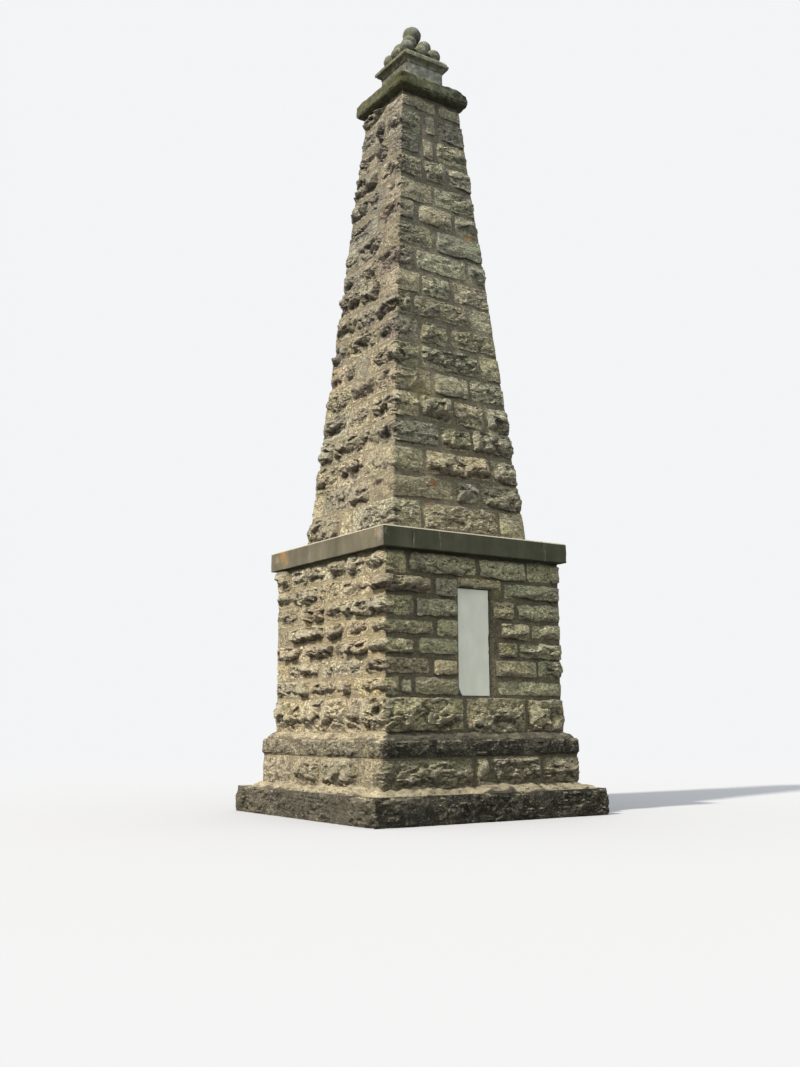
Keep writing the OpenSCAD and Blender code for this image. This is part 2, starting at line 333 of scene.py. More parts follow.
def masonry_paint():
    """Rock-faced stone and its mortar, told apart by what is stored at each point of the mesh."""
    paint = Paint("rock_faced_masonry")
    here = paint.position()
    height = paint.along("Z")
    facing = paint.facing()
    damp, soot, relief, tone = (paint.stored(name) for name in ("damp", "soot", "relief", "tone"))
    patches = paint.noise(here, 4.5, 4.0, 0.6)
    crumbs = paint.noise(paint.stretched(z=1.4), 24, 6.0, 0.72)
    clusters = paint.noise(here, 10, 3.0, 0.6) - 0.5
    flecks = paint.noise(paint.stretched(z=1.3), 38, 3.0, 0.65) + clusters * 0.55
    pits = paint.node("TexVoronoi", "Distance", {"Vector": paint.stretched(z=1.5), "Scale": 24})
    grit = paint.noise(here, 140, 3.0, 0.6)
    cracks = paint.noise(paint.stretched(z=2.4), 5.5, 4.0, 0.55)
    cracks = paint.between(abs(cracks - 0.5), 0.0, 0.030, 1.0, 0.0)

    # Mortar is smeared over the edges of the stones, further where they are dry
    smear = (crumbs - 0.5) * 1.1 + (patches - 0.5) * 0.7
    smear = smear * paint.between(damp, 0.0, 1.0, 0.6, 0.45)
    is_stone = paint.between(paint.stored("rim") + smear + damp * 0.05, -0.05, 0.16)

    # The stone itself, with plum and lichen patches, and painted shade on the faces that look down
    paint.colour = stone_colour(paint, tone, patches, damp)
    plum = paint.between(paint.noise(here, 3.3, 3.0, 0.6), 0.50, 0.66)
    plum = paint.math("MAXIMUM", plum, soot * 1.6) * paint.between(relief, -0.6, 0.3, 0.3, 1.0)
    paint.cover(plum * 0.5, (0.25, 0.205, 0.185))
    # Painted shade on faces that look down
    paint.cover(paint.between(facing, 0.0, -0.5, 0.0, 0.7), (0.18, 0.145, 0.125))
    paint.cover(paint.between(paint.noise(here, 8, 5.0, 0.7), 0.60, 0.70, 0.0, 0.5), (0.34, 0.32, 0.14))

    # The joints, which are darker where they are damp and on the sides in painted shade, and the yellow
    # growth over both
    above = paint.between(height, 3.3, 3.4)
    shady_joint = paint.mix(above, (0.19, 0.168, 0.112), (0.255, 0.225, 0.155))
    joint = paint.mix(damp, (0.52, 0.43, 0.27), shady_joint)
    joint = paint.mix(paint.between(patches, 0.42, 0.7, 0.0, 0.5), joint, (0.19, 0.165, 0.105))
    paint.colour = paint.mix(is_stone, joint, paint.colour)
    yellow = paint.between(paint.noise(here, 6.5, 4.0, 0.65), 0.52, 0.66, 0.0, 0.42)
    yellow = yellow * paint.between(is_stone, 0.0, 1.0, 1.0, 0.55)
    paint.cover(yellow, paint.mix(damp, (0.54, 0.44, 0.21), (0.33, 0.305, 0.135)))

    # Crumbs, cracks and flecks, strongest on broken stone, with painted shade in the pits and painted
    # highlights on the raised crumbs
    crumbly = paint.between(crumbs + pits * -0.16, 0.16, 0.60)
    strength = paint.between(is_stone, 0.0, 1.0, 0.36, 0.97)
    # The crumb ramp is painted light: dark in the pits, bright on the raised crumbs
    paint.cover(strength, paint.ramp(crumbly, (0.0, 0.40), (0.3, 0.77), (0.6, 1.07), (1.0, 1.65)), "MULTIPLY")
    broken = is_stone * paint.between(paint.stored("calm"), 0.0, 1.0, 0.65, 0.35)
    paint.cover(cracks * broken, (0.10, 0.088, 0.066))
    # Pale flecks on what stands out are painted highlights
    pale = paint.between(flecks, 0.56, 0.66) * paint.between(relief, -0.5, 0.4)
    paint.cover(pale * broken, paint.mix(damp, (0.88, 0.80, 0.60), (0.68, 0.64, 0.49)))
    paint.cover(paint.between(flecks, 0.43, 0.34) * broken, (0.085, 0.080, 0.055))
    # Painted shade in the hollows
    paint.cover(paint.between(relief, -0.15, -0.9, 0.0, 0.65), (0.08, 0.068, 0.052))
    # Painted shade in the joint under an overhanging stone
    paint.cover(paint.stored("foot") * 0.75, (0.065, 0.055, 0.042))
    # Painted highlights on what stands out
    paint.cover(paint.between(relief, 0.1, 0.9, 0.0, 0.45), (0.66, 0.60, 0.45))

    # Painted shadow under the cornice, greyer with height above it, and black on the steps with soot and
    # painted shade
    under = paint.between(height, 3.15, 3.235) * paint.between(height, 3.26, 3.25)
    paint.cover(under * paint.between(damp, 0.0, 1.0, 0.7, 0.8), (0.085, 0.082, 0.058))
    aged = paint.between(height, 3.3, 10.0, 0.3, 0.95) * above
    paint.cover(aged, paint.mix(damp, (0.65, 0.665, 0.76), (0.86, 0.93, 1.05)), "MULTIPLY")
    # On the steps the soot is joined by painted shade on the faces that look down
    grime_and_shade = soot * paint.between(facing - soot, 0.2, -0.6)
    grime_and_shade = grime_and_shade * paint.between(patches, 0.66, 0.40, 0.72, 1.0)
    grime_and_shade = grime_and_shade * paint.between(flecks, 0.62, 0.52, 0.62, 1.0)
    grime_and_shade = grime_and_shade * paint.between(is_stone, 0.0, 1.0, 0.5, 1.0)
    paint.cover(grime_and_shade, (0.052, 0.049, 0.035))
    paint.stain(LICHEN_SPOTS, 0.2)
    crust = paint.between(facing, 0.75, 1.0) * paint.between(crumbs, 0.35, 0.6, 0.2, 0.6)
    paint.cover(crust * paint.between(soot, 0.1, 0.4), (0.30, 0.28, 0.21))

    rough = (crumbly + pits * 0.3) * strength + paint.between(flecks, 0.36, 0.66, 0.0, 0.55)
    paint.grain(rough - cracks * 0.25 + grit * 0.30, 0.030)
    return paint.finish(0.93)


def mortar_paint():
    """Trowelled lime mortar: cream where it is clean, nearly black where it stays damp, partly painted shade.
    """
    paint = Paint("lime_mortar")
    here = paint.position()
    damp = paint.stored("damp")
    patches = paint.noise(here, 5, 5.0, 0.65)
    crumbs = paint.noise(paint.stretched(z=1.4), 30, 6.0, 0.7)
    clean = paint.ramp(
        patches, (0.3, (0.24, 0.21, 0.145)), (0.5, (0.43, 0.365, 0.24)), (0.7, (0.60, 0.515, 0.335)),
    )
    # Nearly black where damp, partly painted shade
    grime_and_shade = paint.ramp(
        patches, (0.35, (0.050, 0.046, 0.032)), (0.5, (0.095, 0.086, 0.060)), (0.7, (0.20, 0.18, 0.125)),
    )
    paint.colour = paint.mix(paint.between(damp + (crumbs - 0.5) * 1.1, 0.2, 0.8), clean, grime_and_shade)
    # Upright faces of the wash are darker: partly dirt, partly painted shade
    upright = paint.between(paint.facing() + (patches - 0.5) * 1.5, 0.75, 0.40, 0.0, 0.85)
    paint.cover(upright, paint.mix(paint.between(damp, 0.1, 0.3), (0.17, 0.135, 0.10), (0.085, 0.075, 0.055)))
    paint.cover(0.95, paint.ramp(crumbs, (0.3, 0.35), (0.5, 0.92), (0.68, 1.7)), "MULTIPLY")
    paint.cover(paint.between(paint.noise(here, 14, 5.0, 0.7), 0.60, 0.70, 0.0, 0.4), (0.16, 0.155, 0.07))
    paint.grain(patches + crumbs * 1.6, 0.026)
    return paint.finish(0.93)


def cornice_paint():
    """Sawn limestone: brown-grey on the left side, dark with soot elsewhere, pale along its upper arris."""
    paint = Paint("sawn_limestone")
    here = paint.position()
    streaks = paint.noise(paint.stretched(z=0.22), 7, 4.0, 0.6)
    patches = paint.noise(paint.stretched(z=0.7), 2.2, 4.0, 0.6)
    speckle = paint.noise(here, 70, 4.0, 0.7)
    bright = paint.ramp(
        patches, (0.3, (0.118, 0.102, 0.066)), (0.5, (0.158, 0.138, 0.092)), (0.7, (0.20, 0.175, 0.12)),
    )
    dark = paint.ramp(
        patches, (0.3, (0.054, 0.056, 0.034)), (0.5, (0.077, 0.079, 0.049)), (0.7, (0.102, 0.103, 0.068)),
    )
    paint.colour = paint.mix(paint.toward("-X"), dark, bright)
    paint.cover(0.8, paint.ramp(streaks, (0.3, 0.78), (0.55, 1.0), (0.75, 1.22)), "MULTIPLY")
    paint.cover(paint.between(speckle, 0.5, 0.7, 0.0, 0.35), (0.06, 0.058, 0.045))
    paint.stain(CORNICE_STAINS)
    wander = (paint.noise(here, 9, 3.0) - 0.5) * 0.05
    broken = paint.between(paint.noise(here, 18, 4.0), 0.42, 0.62, 0.05, 0.55)
    for place, axis, side in CORNICE_DRIPS:
        away = abs(paint.along(axis) + wander - place)
        drip = paint.between(away, 0.004, 0.016, 1.0, 0.0) * paint.toward(side)
        paint.cover(drip * broken, (0.26, 0.26, 0.20))
    paint.cover(paint.between(paint.facing(), 0.2, 0.6, 0.0, 0.85), (0.40, 0.365, 0.275))
    paint.grain(speckle + streaks, 0.004, 0.7)
    return paint.finish(0.9)


def marble_paint():
    """White marble, faintly clouded and stained."""
    paint = Paint("white_marble")
    clouds = paint.noise(paint.stretched(z=0.6), 7, 5.0, 0.6)
    paint.colour = paint.ramp(clouds, (0.35, (0.74, 0.76, 0.64)), (0.65, (0.81, 0.83, 0.71)))
    paint.grain(paint.noise(paint.position(), 60, 3.0), 0.001, 0.3)
    return paint.finish(0.55, 0.4)


def weathered_paint():
    """Dressed limestone under grey, green and yellow lichen, with painted shade on its undersides and on the
    sides of the balls away from the sun.
    """
    paint = Paint("weathered_limestone")
    here = paint.position()
    lichen = paint.stored("lichen")
    facing = paint.facing()
    patches = paint.noise(here, 6, 5.0, 0.65)
    crumbs = paint.noise(here, 36, 6.0, 0.72)
    bright = paint.ramp(
        patches, (0.3, (0.12, 0.118, 0.094)), (0.5, (0.162, 0.16, 0.126)), (0.7, (0.215, 0.212, 0.17)),
    )
    dark = paint.ramp(
        patches, (0.3, (0.20, 0.208, 0.175)), (0.5, (0.31, 0.318, 0.27)), (0.7, (0.46, 0.466, 0.40)),
    )
    paint.colour = paint.mix(paint.toward("-X", 0.1, 0.7), dark, bright)
    grime = paint.between(lichen, 0.8, 1.0) * paint.between(paint.toward("-X"), 0.0, 1.0, 0.28, 0.5)
    paint.cover(grime, (0.055, 0.056, 0.036))
    paint.cover(0.8, paint.ramp(crumbs, (0.28, 0.5), (0.5, 1.0), (0.72, 1.45)), "MULTIPLY")
    spread = (lichen + paint.between(facing, 0.0, 0.8, -0.1, 0.3)) * 0.22
    growth = paint.between(paint.noise(here, 9, 5.0, 0.7) + spread, 0.52, 0.68)
    paint.cover(growth * 0.8, (0.118, 0.124, 0.060))
    gold = paint.between(paint.noise(here, 19, 4.0, 0.65), 0.60, 0.68) * lichen
    paint.cover(gold * paint.toward("-X", -0.1, 0.4), (0.27, 0.17, 0.085))
    hollow = paint.between(facing, 0.1, -0.3, 0.0, 0.8) * paint.between(lichen, 0.4, 0.5)
    hollow = hollow * paint.between(lichen, 0.7, 0.6)
    paint.cover(hollow, paint.mix(patches, (0.17, 0.165, 0.12), (0.34, 0.33, 0.27)))
    # Painted shade on the undersides, darkest under the cap slab
    under = paint.between(facing, -0.25, -0.75, 0.0, 0.8) * paint.between(lichen, 0.6, 1.0, 0.2, 1.0)
    paint.cover(under, (0.042, 0.043, 0.032))
    # Painted shade on the balls away from the sun and in the mortar between them
    paint.cover(paint.stored("soot") * 0.9, (0.045, 0.047, 0.035))
    paint.cover(paint.stored("bloom") * paint.between(facing, 0.2, 0.95, 0.0, 0.55), (0.19, 0.225, 0.115))
    paint.stain(CAP_STAINS)
    blotches = paint.noise(here, 17, 4.0, 0.72)
    mottle = paint.ramp(blotches, (0.34, (0.62, 0.60, 0.52)), (0.5, 1.0), (0.66, (1.75, 1.70, 1.60)))
    paint.cover(0.85, mottle, "MULTIPLY")
    paint.grain(crumbs + patches, 0.014, 0.9)
    return paint.finish(0.92)


# Numbers in space

def eased(value, low, high):
    """0 below low, 1 above high and a smooth rise between them."""
    t = np.clip((value - low) / (high - low), 0, 1)
    return t * t * (3 - 2 * t)


class Noise:
    """Smooth random numbers, about -1 to 1, at points in space. The same seed gives the same numbers."""

    def __init__(self, seed):
        rng = np.random.default_rng(seed)
        self.order = np.tile(rng.permutation(256), 3)
        slopes = rng.normal(size=(256, 3))
        self.slopes = slopes / np.linalg.norm(slopes, axis=1, keepdims=True)
        self.jitter = rng.random((256, 4))

    def pick(self, x, y, z):
        return self.order[self.order[self.order[x & 255] + (y & 255)] + (z & 255)]

    def __call__(self, x, y, z=0.0):
        x, y, z = np.broadcast_arrays(x, y, z)
        at = [np.floor(v).astype(np.int64) for v in (x, y, z)]
        inside = [v - c for v, c in zip((x, y, z), at)]
        fade = [f * f * f * (f * (f * 6 - 15) + 10) for f in inside]
        total = np.zeros(x.shape)
        for corner in range(8):
            step = [(corner >> axis) & 1 for axis in range(3)]
            slope = self.slopes[self.pick(*(c + s for c, s in zip(at, step)))]
            height = sum(slope[..., axis] * (inside[axis] - step[axis]) for axis in range(3))
            for axis in range(3):
                height = height * (fade[axis] if step[axis] else 1 - fade[axis])
            total += height
        return total * 1.6

    def layers(self, x, y, z=0.0, count=3):
        """Several octaves, each half as strong and about twice as fine."""
        return sum(self(x * 2.03 ** i, y * 2.03 ** i, z + 17.3 * i) * 0.5 ** i for i in range(count))

    def broken(self, x, y, layer):
        """Flat facets with random heights and tilts, -1 to 1, as on broken rock."""
        cell_x, cell_y = np.floor(x).astype(np.int64), np.floor(y).astype(np.int64)
        nearest = np.full(x.shape, 9.0)
        height = np.zeros(x.shape)
        for i in (-1, 0, 1):
            for j in (-1, 0, 1):
                spot = self.jitter[self.pick(cell_x + i, cell_y + j, layer)]
                dx = cell_x + i + 0.1 + 0.8 * spot[..., 0] - x
                dy = cell_y + j + 0.1 + 0.8 * spot[..., 1] - y
                tilt = dx * (spot[..., 3] - 0.5) * 1.6 - dy * (spot[..., 2] - 0.3) * 1.5
                gap = np.hypot(dx, dy)
                height = np.where(gap < nearest, 2 * spot[..., 2] - 1 + tilt, height)
                nearest = np.minimum(nearest, gap)
        return height


noise = Noise(7)


# Meshes

def make_piece(node, finish, points, faces, values=None):
    """Makes one closed mesh object that rides on the body and takes the place of a CAD node.

    finish is the last word of its name, a material slot that is not used, and its material. faces is a list
    of tables of point numbers, each table with its own number of corners."""
    word, slot, material = finish
    name = f"{node}_{word}"
    mesh = bpy.data.meshes.new(name)
    corners = np.concatenate([np.reshape(table, -1) for table in faces])
    sizes = np.concatenate([np.full(len(table), np.shape(table)[1]) for table in faces])
    mesh.vertices.add(len(points))
    mesh.vertices.foreach_set("co", np.asarray(points, np.float32).reshape(-1))
    mesh.loops.add(len(corners))
    mesh.loops.foreach_set("vertex_index", corners.astype(np.int32))
    mesh.polygons.add(len(sizes))
    mesh.polygons.foreach_set("loop_start", (np.cumsum(sizes) - sizes).astype(np.int32))
    mesh.polygons.foreach_set("loop_total", sizes.astype(np.int32))
    mesh.update(calc_edges=True)
    for key, numbers in (values or {}).items():
        stored = mesh.attributes.new(key, "FLOAT", "POINT")
        stored.data.foreach_set("value", np.asarray(numbers, np.float32).reshape(-1))
    mesh.polygons.foreach_set("use_smooth", np.ones(len(sizes), bool))
    mesh.set_sharp_from_angle(angle=math.radians(28))
    mesh.materials.append(material)
    piece = placed(name, mesh)
    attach(piece, "root")
    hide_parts(node)


def ring_faces(rows, columns, loops=False):
    """Faces over a grid of points that closes round its columns. Its rows loop too, or end in flat faces."""
    index = np.arange(rows * columns).reshape(rows, columns)
    below = index if loops else index[:-1]
    above = np.roll(index, -1, axis=0) if loops else index[1:]
    quads = np.stack([below, np.roll(below, -1, 1), np.roll(above, -1, 1), above], -1).reshape(-1, 4)
    return [quads] if loops else [quads, index[:1, ::-1], index[-1:]]


def box_shell(xs, ys, zs):
    """Points and quads of a closed box over three lists of grid lines."""
    skin = np.zeros((len(xs), len(ys), len(zs)), bool)
    skin[[0, -1]] = skin[:, [0, -1]] = skin[:, :, [0, -1]] = True
    index = np.full(skin.shape, -1)
    index[skin] = np.arange(skin.sum())
    points = np.stack(np.meshgrid(xs, ys, zs, indexing="ij"), -1)[skin]
    quads = []
    for axis in range(3):
        for end in (0, -1):
            face = np.take(index, end, axis=axis)
            quad = np.stack([face[:-1, :-1], face[1:, :-1], face[1:, 1:], face[:-1, 1:]], -1).reshape(-1, 4)
            outward = (end == -1) != (axis == 1)
            quads.append(quad if outward else quad[:, ::-1])
    return points, np.concatenate(quads)


def round_square(along, half, corner):
    """Points and outward directions on a square of that half width with rounded corners.

    along runs from 0 to 4, one side for each whole number, from the front's left corner."""
    side = np.floor(along).astype(int)
    share = along - side
    reach = np.minimum(corner, half * 0.9) / (2 * half)
    turn = np.where(share < reach, share / reach - 1, np.where(share > 1 - reach, (share - 1) / reach + 1, 0))
    base = side * math.pi / 2
    angle = turn * math.pi / 4 + base
    out_x, out_y = np.sin(angle), -np.cos(angle)
    way_x, way_y = np.cos(base), np.sin(base)
    straight = 2 * half * (np.clip(share, reach, 1 - reach) - 0.5)
    middle = half - reach * 2 * half
    x = way_x * straight + way_y * middle + out_x * (half - middle)
    y = way_y * straight - way_x * middle + out_y * (half - middle)
    return x, y, out_x, out_y


def grid_lines(stops, spacing, wanted=()):
    """Fills in between the given stops, no further apart than spacing, and adds the wanted lines."""
    places = [stops[0]]
    for low, high in zip(stops, stops[1:]):
        if high - low > 1e-9:
            parts = max(1, math.ceil((high - low) / spacing))
            places += [low + (high - low) * (i + 1) / parts for i in range(parts)]
    for stop in wanted:
        if stops[0] < stop < stops[-1] and min(abs(stop - p) for p in places) > 1e-5:
            places.append(stop)
    return sorted(places)


def edge_lines(low, high, spacing, fine=(), extra=()):
    """Grid lines over a stretch, with fine ones close to both its ends."""
    return grid_lines([low, high], spacing, [low + d for d in fine] + [high - d for d in fine] + list(extra))


def relief_of(height, reach=4):
    """How far each point of a ring's grid stands out from its surroundings, -1 to 1."""
    blurred = height
    width = 2 * reach + 1
    for axis, mode in ((1, "wrap"), (0, "edge")):
        pad = [(reach + 1, reach) if a == axis else (0, 0) for a in (0, 1)]
        total = np.cumsum(np.pad(blurred, pad, mode=mode), axis=axis)
        first = np.arange(height.shape[axis])
        blurred = (np.take(total, first + width, axis) - np.take(total, first, axis)) / width
    return np.clip((height - blurred) / 0.017, -1, 1)


def by_side(along, values):
    """A number for each of the four sides, or one for all, changing over quickly at the corners."""
    values = np.broadcast_to(values, 4)
    where = (along + 0.03) % 4 - 0.03
    places = [k + d for k in range(4) for d in (-0.02, 0.02)] + [3.96]
    numbers = [values[k - 1 + i] for k in range(4) for i in (0, 1)] + [values[3]]
    return np.interp(where, places, numbers)


# Mouldings, washes and worn blocks

def soften(outline, radius, closed):
    """Rounds the corners of an outline of (half width, height) points. Also says which points are rounded."""
    points = [Vector(p) for p in outline]
    made, bent = [], []
    for i, point in enumerate(points):
        if not closed and i in (0, len(points) - 1):
            made.append(point)
            bent.append(0)
            continue
        before, after = points[i - 1], points[(i + 1) % len(points)]
        cut = min(radius, 0.45 * (before - point).length, 0.45 * (after - point).length)
        enter = point + (before - point).normalized() * cut
        leave = point + (after - point).normalized() * cut
        for t in (0, 0.25, 0.5, 0.75, 1):
            made.append(enter * (1 - t) ** 2 + point * 2 * t * (1 - t) + leave * t * t)
            bent.append(1 - abs(2 * t - 1))
    return (made + made[:1], bent + bent[:1]) if closed else (made, bent)


def sweep_square(node, finish, outline, corner=0.015, radius=0.012, spacing=0.022, rough=0.003, wear=0.010,
                 grain=0.12, dents=(), closed=False, seed=0, wander=0.0, damp=0.5, lichen=0.5, limit=None):
    """A form with the same outline on its four sides, with worn arrises and broken places.

    The outline is closed at its ends by flat faces, or runs round in a loop if closed. dents are broken
    places, each with its centre, size and depth. wander lifts and lowers the outer edge, and limit is the
    half width that nothing passes. The damp of each side, partly painted shade, and the lichen are stored
    for the material."""
    made, bent = soften(outline, radius, closed)
    run = np.concatenate([[0], np.cumsum([(b - a).length for a, b in zip(made, made[1:])])])
    stops = np.array(grid_lines(run, spacing))
    if closed:
        stops = stops[:-1]
    shape = ([p.x for p in made], [p.y for p in made], bent)
    halves, levels, edge = (np.interp(stops, run, numbers) for numbers in shape)
    slope_h, slope_z = (
        np.roll(v, -1) - np.roll(v, 1) if closed else np.gradient(v) for v in (halves, levels)
    )
    size = np.maximum(np.hypot(slope_h, slope_z), 1e-9)
    out_h, out_z = slope_z / size, -slope_h / size
    widest = max(halves)
    reach = corner / (2 * widest)
    ends = [k + d * reach for k in range(5) for d in (-2, -1, -0.5, 0, 0.5, 1, 2)]
    along = np.array(grid_lines(range(5), spacing / (2 * widest), ends)[:-1])
    x, y, out_x, out_y = round_square(along[None], halves[:, None], corner)
    z = np.broadcast_to(levels[:, None], x.shape)
    if wander:
        outer = (halves - min(halves)) / (widest - min(halves))
        z = z + wander * noise.layers(x / 0.7 + seed, y / 0.7, 0.0, 3) * (0.35 + 0.65 * outer[:, None])

    chips = np.maximum(noise.layers(x / 0.07, y / 0.07 + seed, z / 0.07, 2) + 0.15, 0) ** 1.5
    push = rough * noise.layers(x / grain + seed, y / grain, z / grain, 3) - wear * edge[:, None] * chips
    corner_gap = np.abs(along - np.round(along)) * 2 * widest
    push = push - wear * 1.5 * np.exp(-(corner_gap / 0.035) ** 2)[None] * chips
    for centre, size, deep in dents:
        gap = np.sqrt((x - centre[0]) ** 2 + (y - centre[1]) ** 2 + (z - centre[2]) ** 2)
        ragged = gap * (1 + 0.25 * noise(x / 0.04, y / 0.04, z / 0.04))
        push = push - deep * np.exp(-(ragged / size) ** 2)
    if not closed:
        push = push * np.minimum(1, np.minimum(stops, stops[-1] - stops) / 0.01)[:, None]
    flat = out_h[:, None] * push
    if limit:
        room = limit - halves[:, None]
        flat = room - 0.006 * np.logaddexp(0, (room - flat) / 0.006)
    points = np.stack([x + out_x * flat, y + out_y * flat, z + out_z[:, None] * push], -1)
    values = dict(damp=np.broadcast_to(by_side(along, damp), x.shape), lichen=np.full(x.shape, lichen))
    make_piece(node, finish, points.reshape(-1, 3), ring_faces(*x.shape, closed), values)


def worn(points, low, high, radius, rough, seed):
    """Rounds the arrises of a box of points by an uneven radius, and roughens its faces."""
    x, y, z = points.T
    uneven = radius * np.clip(1 + 1.3 * noise.layers(x / 0.09 + seed, y / 0.09, z / 0.09, 3), 0.25, 3.2)
    core = np.clip(points, low + uneven[:, None], high - uneven[:, None])
    out = points - core
    out = out / np.maximum(np.linalg.norm(out, axis=1, keepdims=True), 1e-9)
    lift = uneven + rough * noise.layers(x / 0.11, y / 0.11 + seed, z / 0.11, 3)
    return core + out * lift[:, None], out


# Courses of rock-faced stone

def shifted(place, total, low, high, new_low, new_high):
    """Moves places on a stretch along with the margins at its ends, which get new widths."""
    middle = new_low + (place - low) * (total - new_low - new_high) / (total - low - high)
    far = total - (total - place) * new_high / np.maximum(high, 1e-9)
    near = place * new_low / np.maximum(low, 1e-9)
    return np.where(place <= low, near, np.where(place >= total - high, far, middle))


def broken_face(along, level, owners, seed, step):
    """How each stone swells in lobes, and its crags: facets, ledges and sharp edges."""
    warp = 0.45 * noise(along / 0.2, level / 0.12, owners * 2.9)
    lump = noise.broken(along / 0.15 + warp, level / 0.095 + warp + seed, owners)
    facet = noise.broken(along / 0.068 + 2 * warp, level / 0.05 + 2 * warp + seed, owners + 60)
    lobes = np.maximum(0.75 + 0.45 * lump + 0.5 * noise(along / 0.19, level / 0.14, owners * 4.1), 0.05)
    step = step - np.floor(step)
    ledges = eased(step, 0, 0.22) * (1 - 0.9 * step)
    ledges = ledges * eased(noise(along / 0.21, level / 0.2, owners + 30), -0.35, 0.35)
    sharp = sum(w * (0.55 - 1.5 * abs(noise(along / s + warp, level / (0.68 * s), owners * 7.7 + s)))
                for w, s in ((0.34, 0.13), (-0.44, 0.066), (-0.46, 0.039)))
    return lobes, 1.25 * np.tanh(0.75 * facet + sharp + 0.9 * (ledges - 0.3))


def hollowed(depth, along, level, hollows, width, h, seed):
    """Cuts each hollow: its place round the ring, in sides, its share of the height, and its three sizes."""
    for place, rise, wide, tall, deep in hollows:
        across = (along - width * place + 2 * width) % (4 * width) - 2 * width
        far = (across / (wide / 2)) ** 2 + ((level - rise * h - 0.08 * across) / (tall / 2)) ** 2
        far = far * (1 + 0.7 * noise(along / 0.07, level / 0.06, seed))
        far = far + 0.35 * noise(along / 0.15, level / 0.08, seed + 40)
        depth = depth - 0.9 * deep * np.exp(-np.maximum(far, 0) ** 1.4)
    return depth


def course_columns(stones, left_gap, right_gap, width, look, recess):
    """Grid lines round the ring, and the number of the stone that each is on.

    They follow the stones, and are finest on the front and the left side."""
    columns, owners = [], []
    for j, (a, b) in enumerate(stones):
        left, right = a + left_gap[j], b - right_gap[j]
        corners = [width * k for k in range(1, 5) if a < width * k < b]
        wanted = [c + d * look.corner for c in corners for d in (-1, -0.5, 0, 0.5, 1)]
        if recess and a < width:
            wanted += [recess.left + d for d in (-0.012, -1e-4, 1e-4)]
            wanted += [recess.right + d for d in (-1e-4, 1e-4, 0.03, 0.06)]
        finest = int((a + b) / 2 / width) % 4 in (0, 3)
        stops = [a, left, left + look.wall, right - look.wall, right, b]
        places = grid_lines(stops, look.column * (1 if finest else 1.35), wanted)[:-1]
        columns += places
        owners += [j] * len(places)
    return np.array(columns), np.array(owners)


def squared_off(rows, columns, along, level, joints, h, recess):
    """Straightens the grid over the recess and as far as the next joint. Says first where that is."""
    opening = (columns > recess.left - 0.013) & (columns < min(j for j in joints if j > recess.right))
    straight = rows
    if recess.top < h:
        split = np.argmin(abs(rows - recess.top))
        kept = [0, rows[split], rows[split + 1], h]
        straight = np.interp(rows, kept, [0, recess.top - 1e-4, recess.top + 1e-4, h])
    return opening, np.where(opening, columns, along), np.where(opening, straight[:, None], level)


def falling_off(spread, owners, off_x, off_z, length, h):
    """How far each stone falls away from its middle, in six planes."""
    fall = np.zeros(off_z.shape)
    for k in range(6):
        angle = k * math.pi / 3 + spread(-0.5, 0.5)[owners]
        reach = spread(0.3, 0.95)[owners]
        slope = spread(0.05, 0.28)[owners]
        run = np.cos(angle) * off_x + np.sin(angle) * off_z
        edge = reach * (abs(np.cos(angle)) * length / 2 + abs(np.sin(angle)) * h / 2)
        fall = np.maximum(fall, slope * (run - edge))
    return fall


def recessed(depth, bed, along, level, opening, recess, seed):
    """Cuts the mortar back to the recess and its sill, behind the tablet. Says last where that is."""
    from_right, from_left = along - recess.right, recess.left - along
    splay = 0.025 + 0.055 * eased(recess.top - level, 0, 1.3)
    lip = eased(from_right, 0, splay) * (from_right > 0) + eased(from_left, 0, 0.012) * (from_left > 0)
    beside = opening & (level < recess.top)
    depth = np.where(beside, recess.face + (bed - recess.face) * lip, depth)
    within = beside & (from_right < 0) & (from_left < 0)
    sill = recess.sill + 0.006 * noise(along / 0.08, 0.3, seed)
    return np.where(within, np.where(level < sill, recess.face + 0.016, recess.back), depth), beside


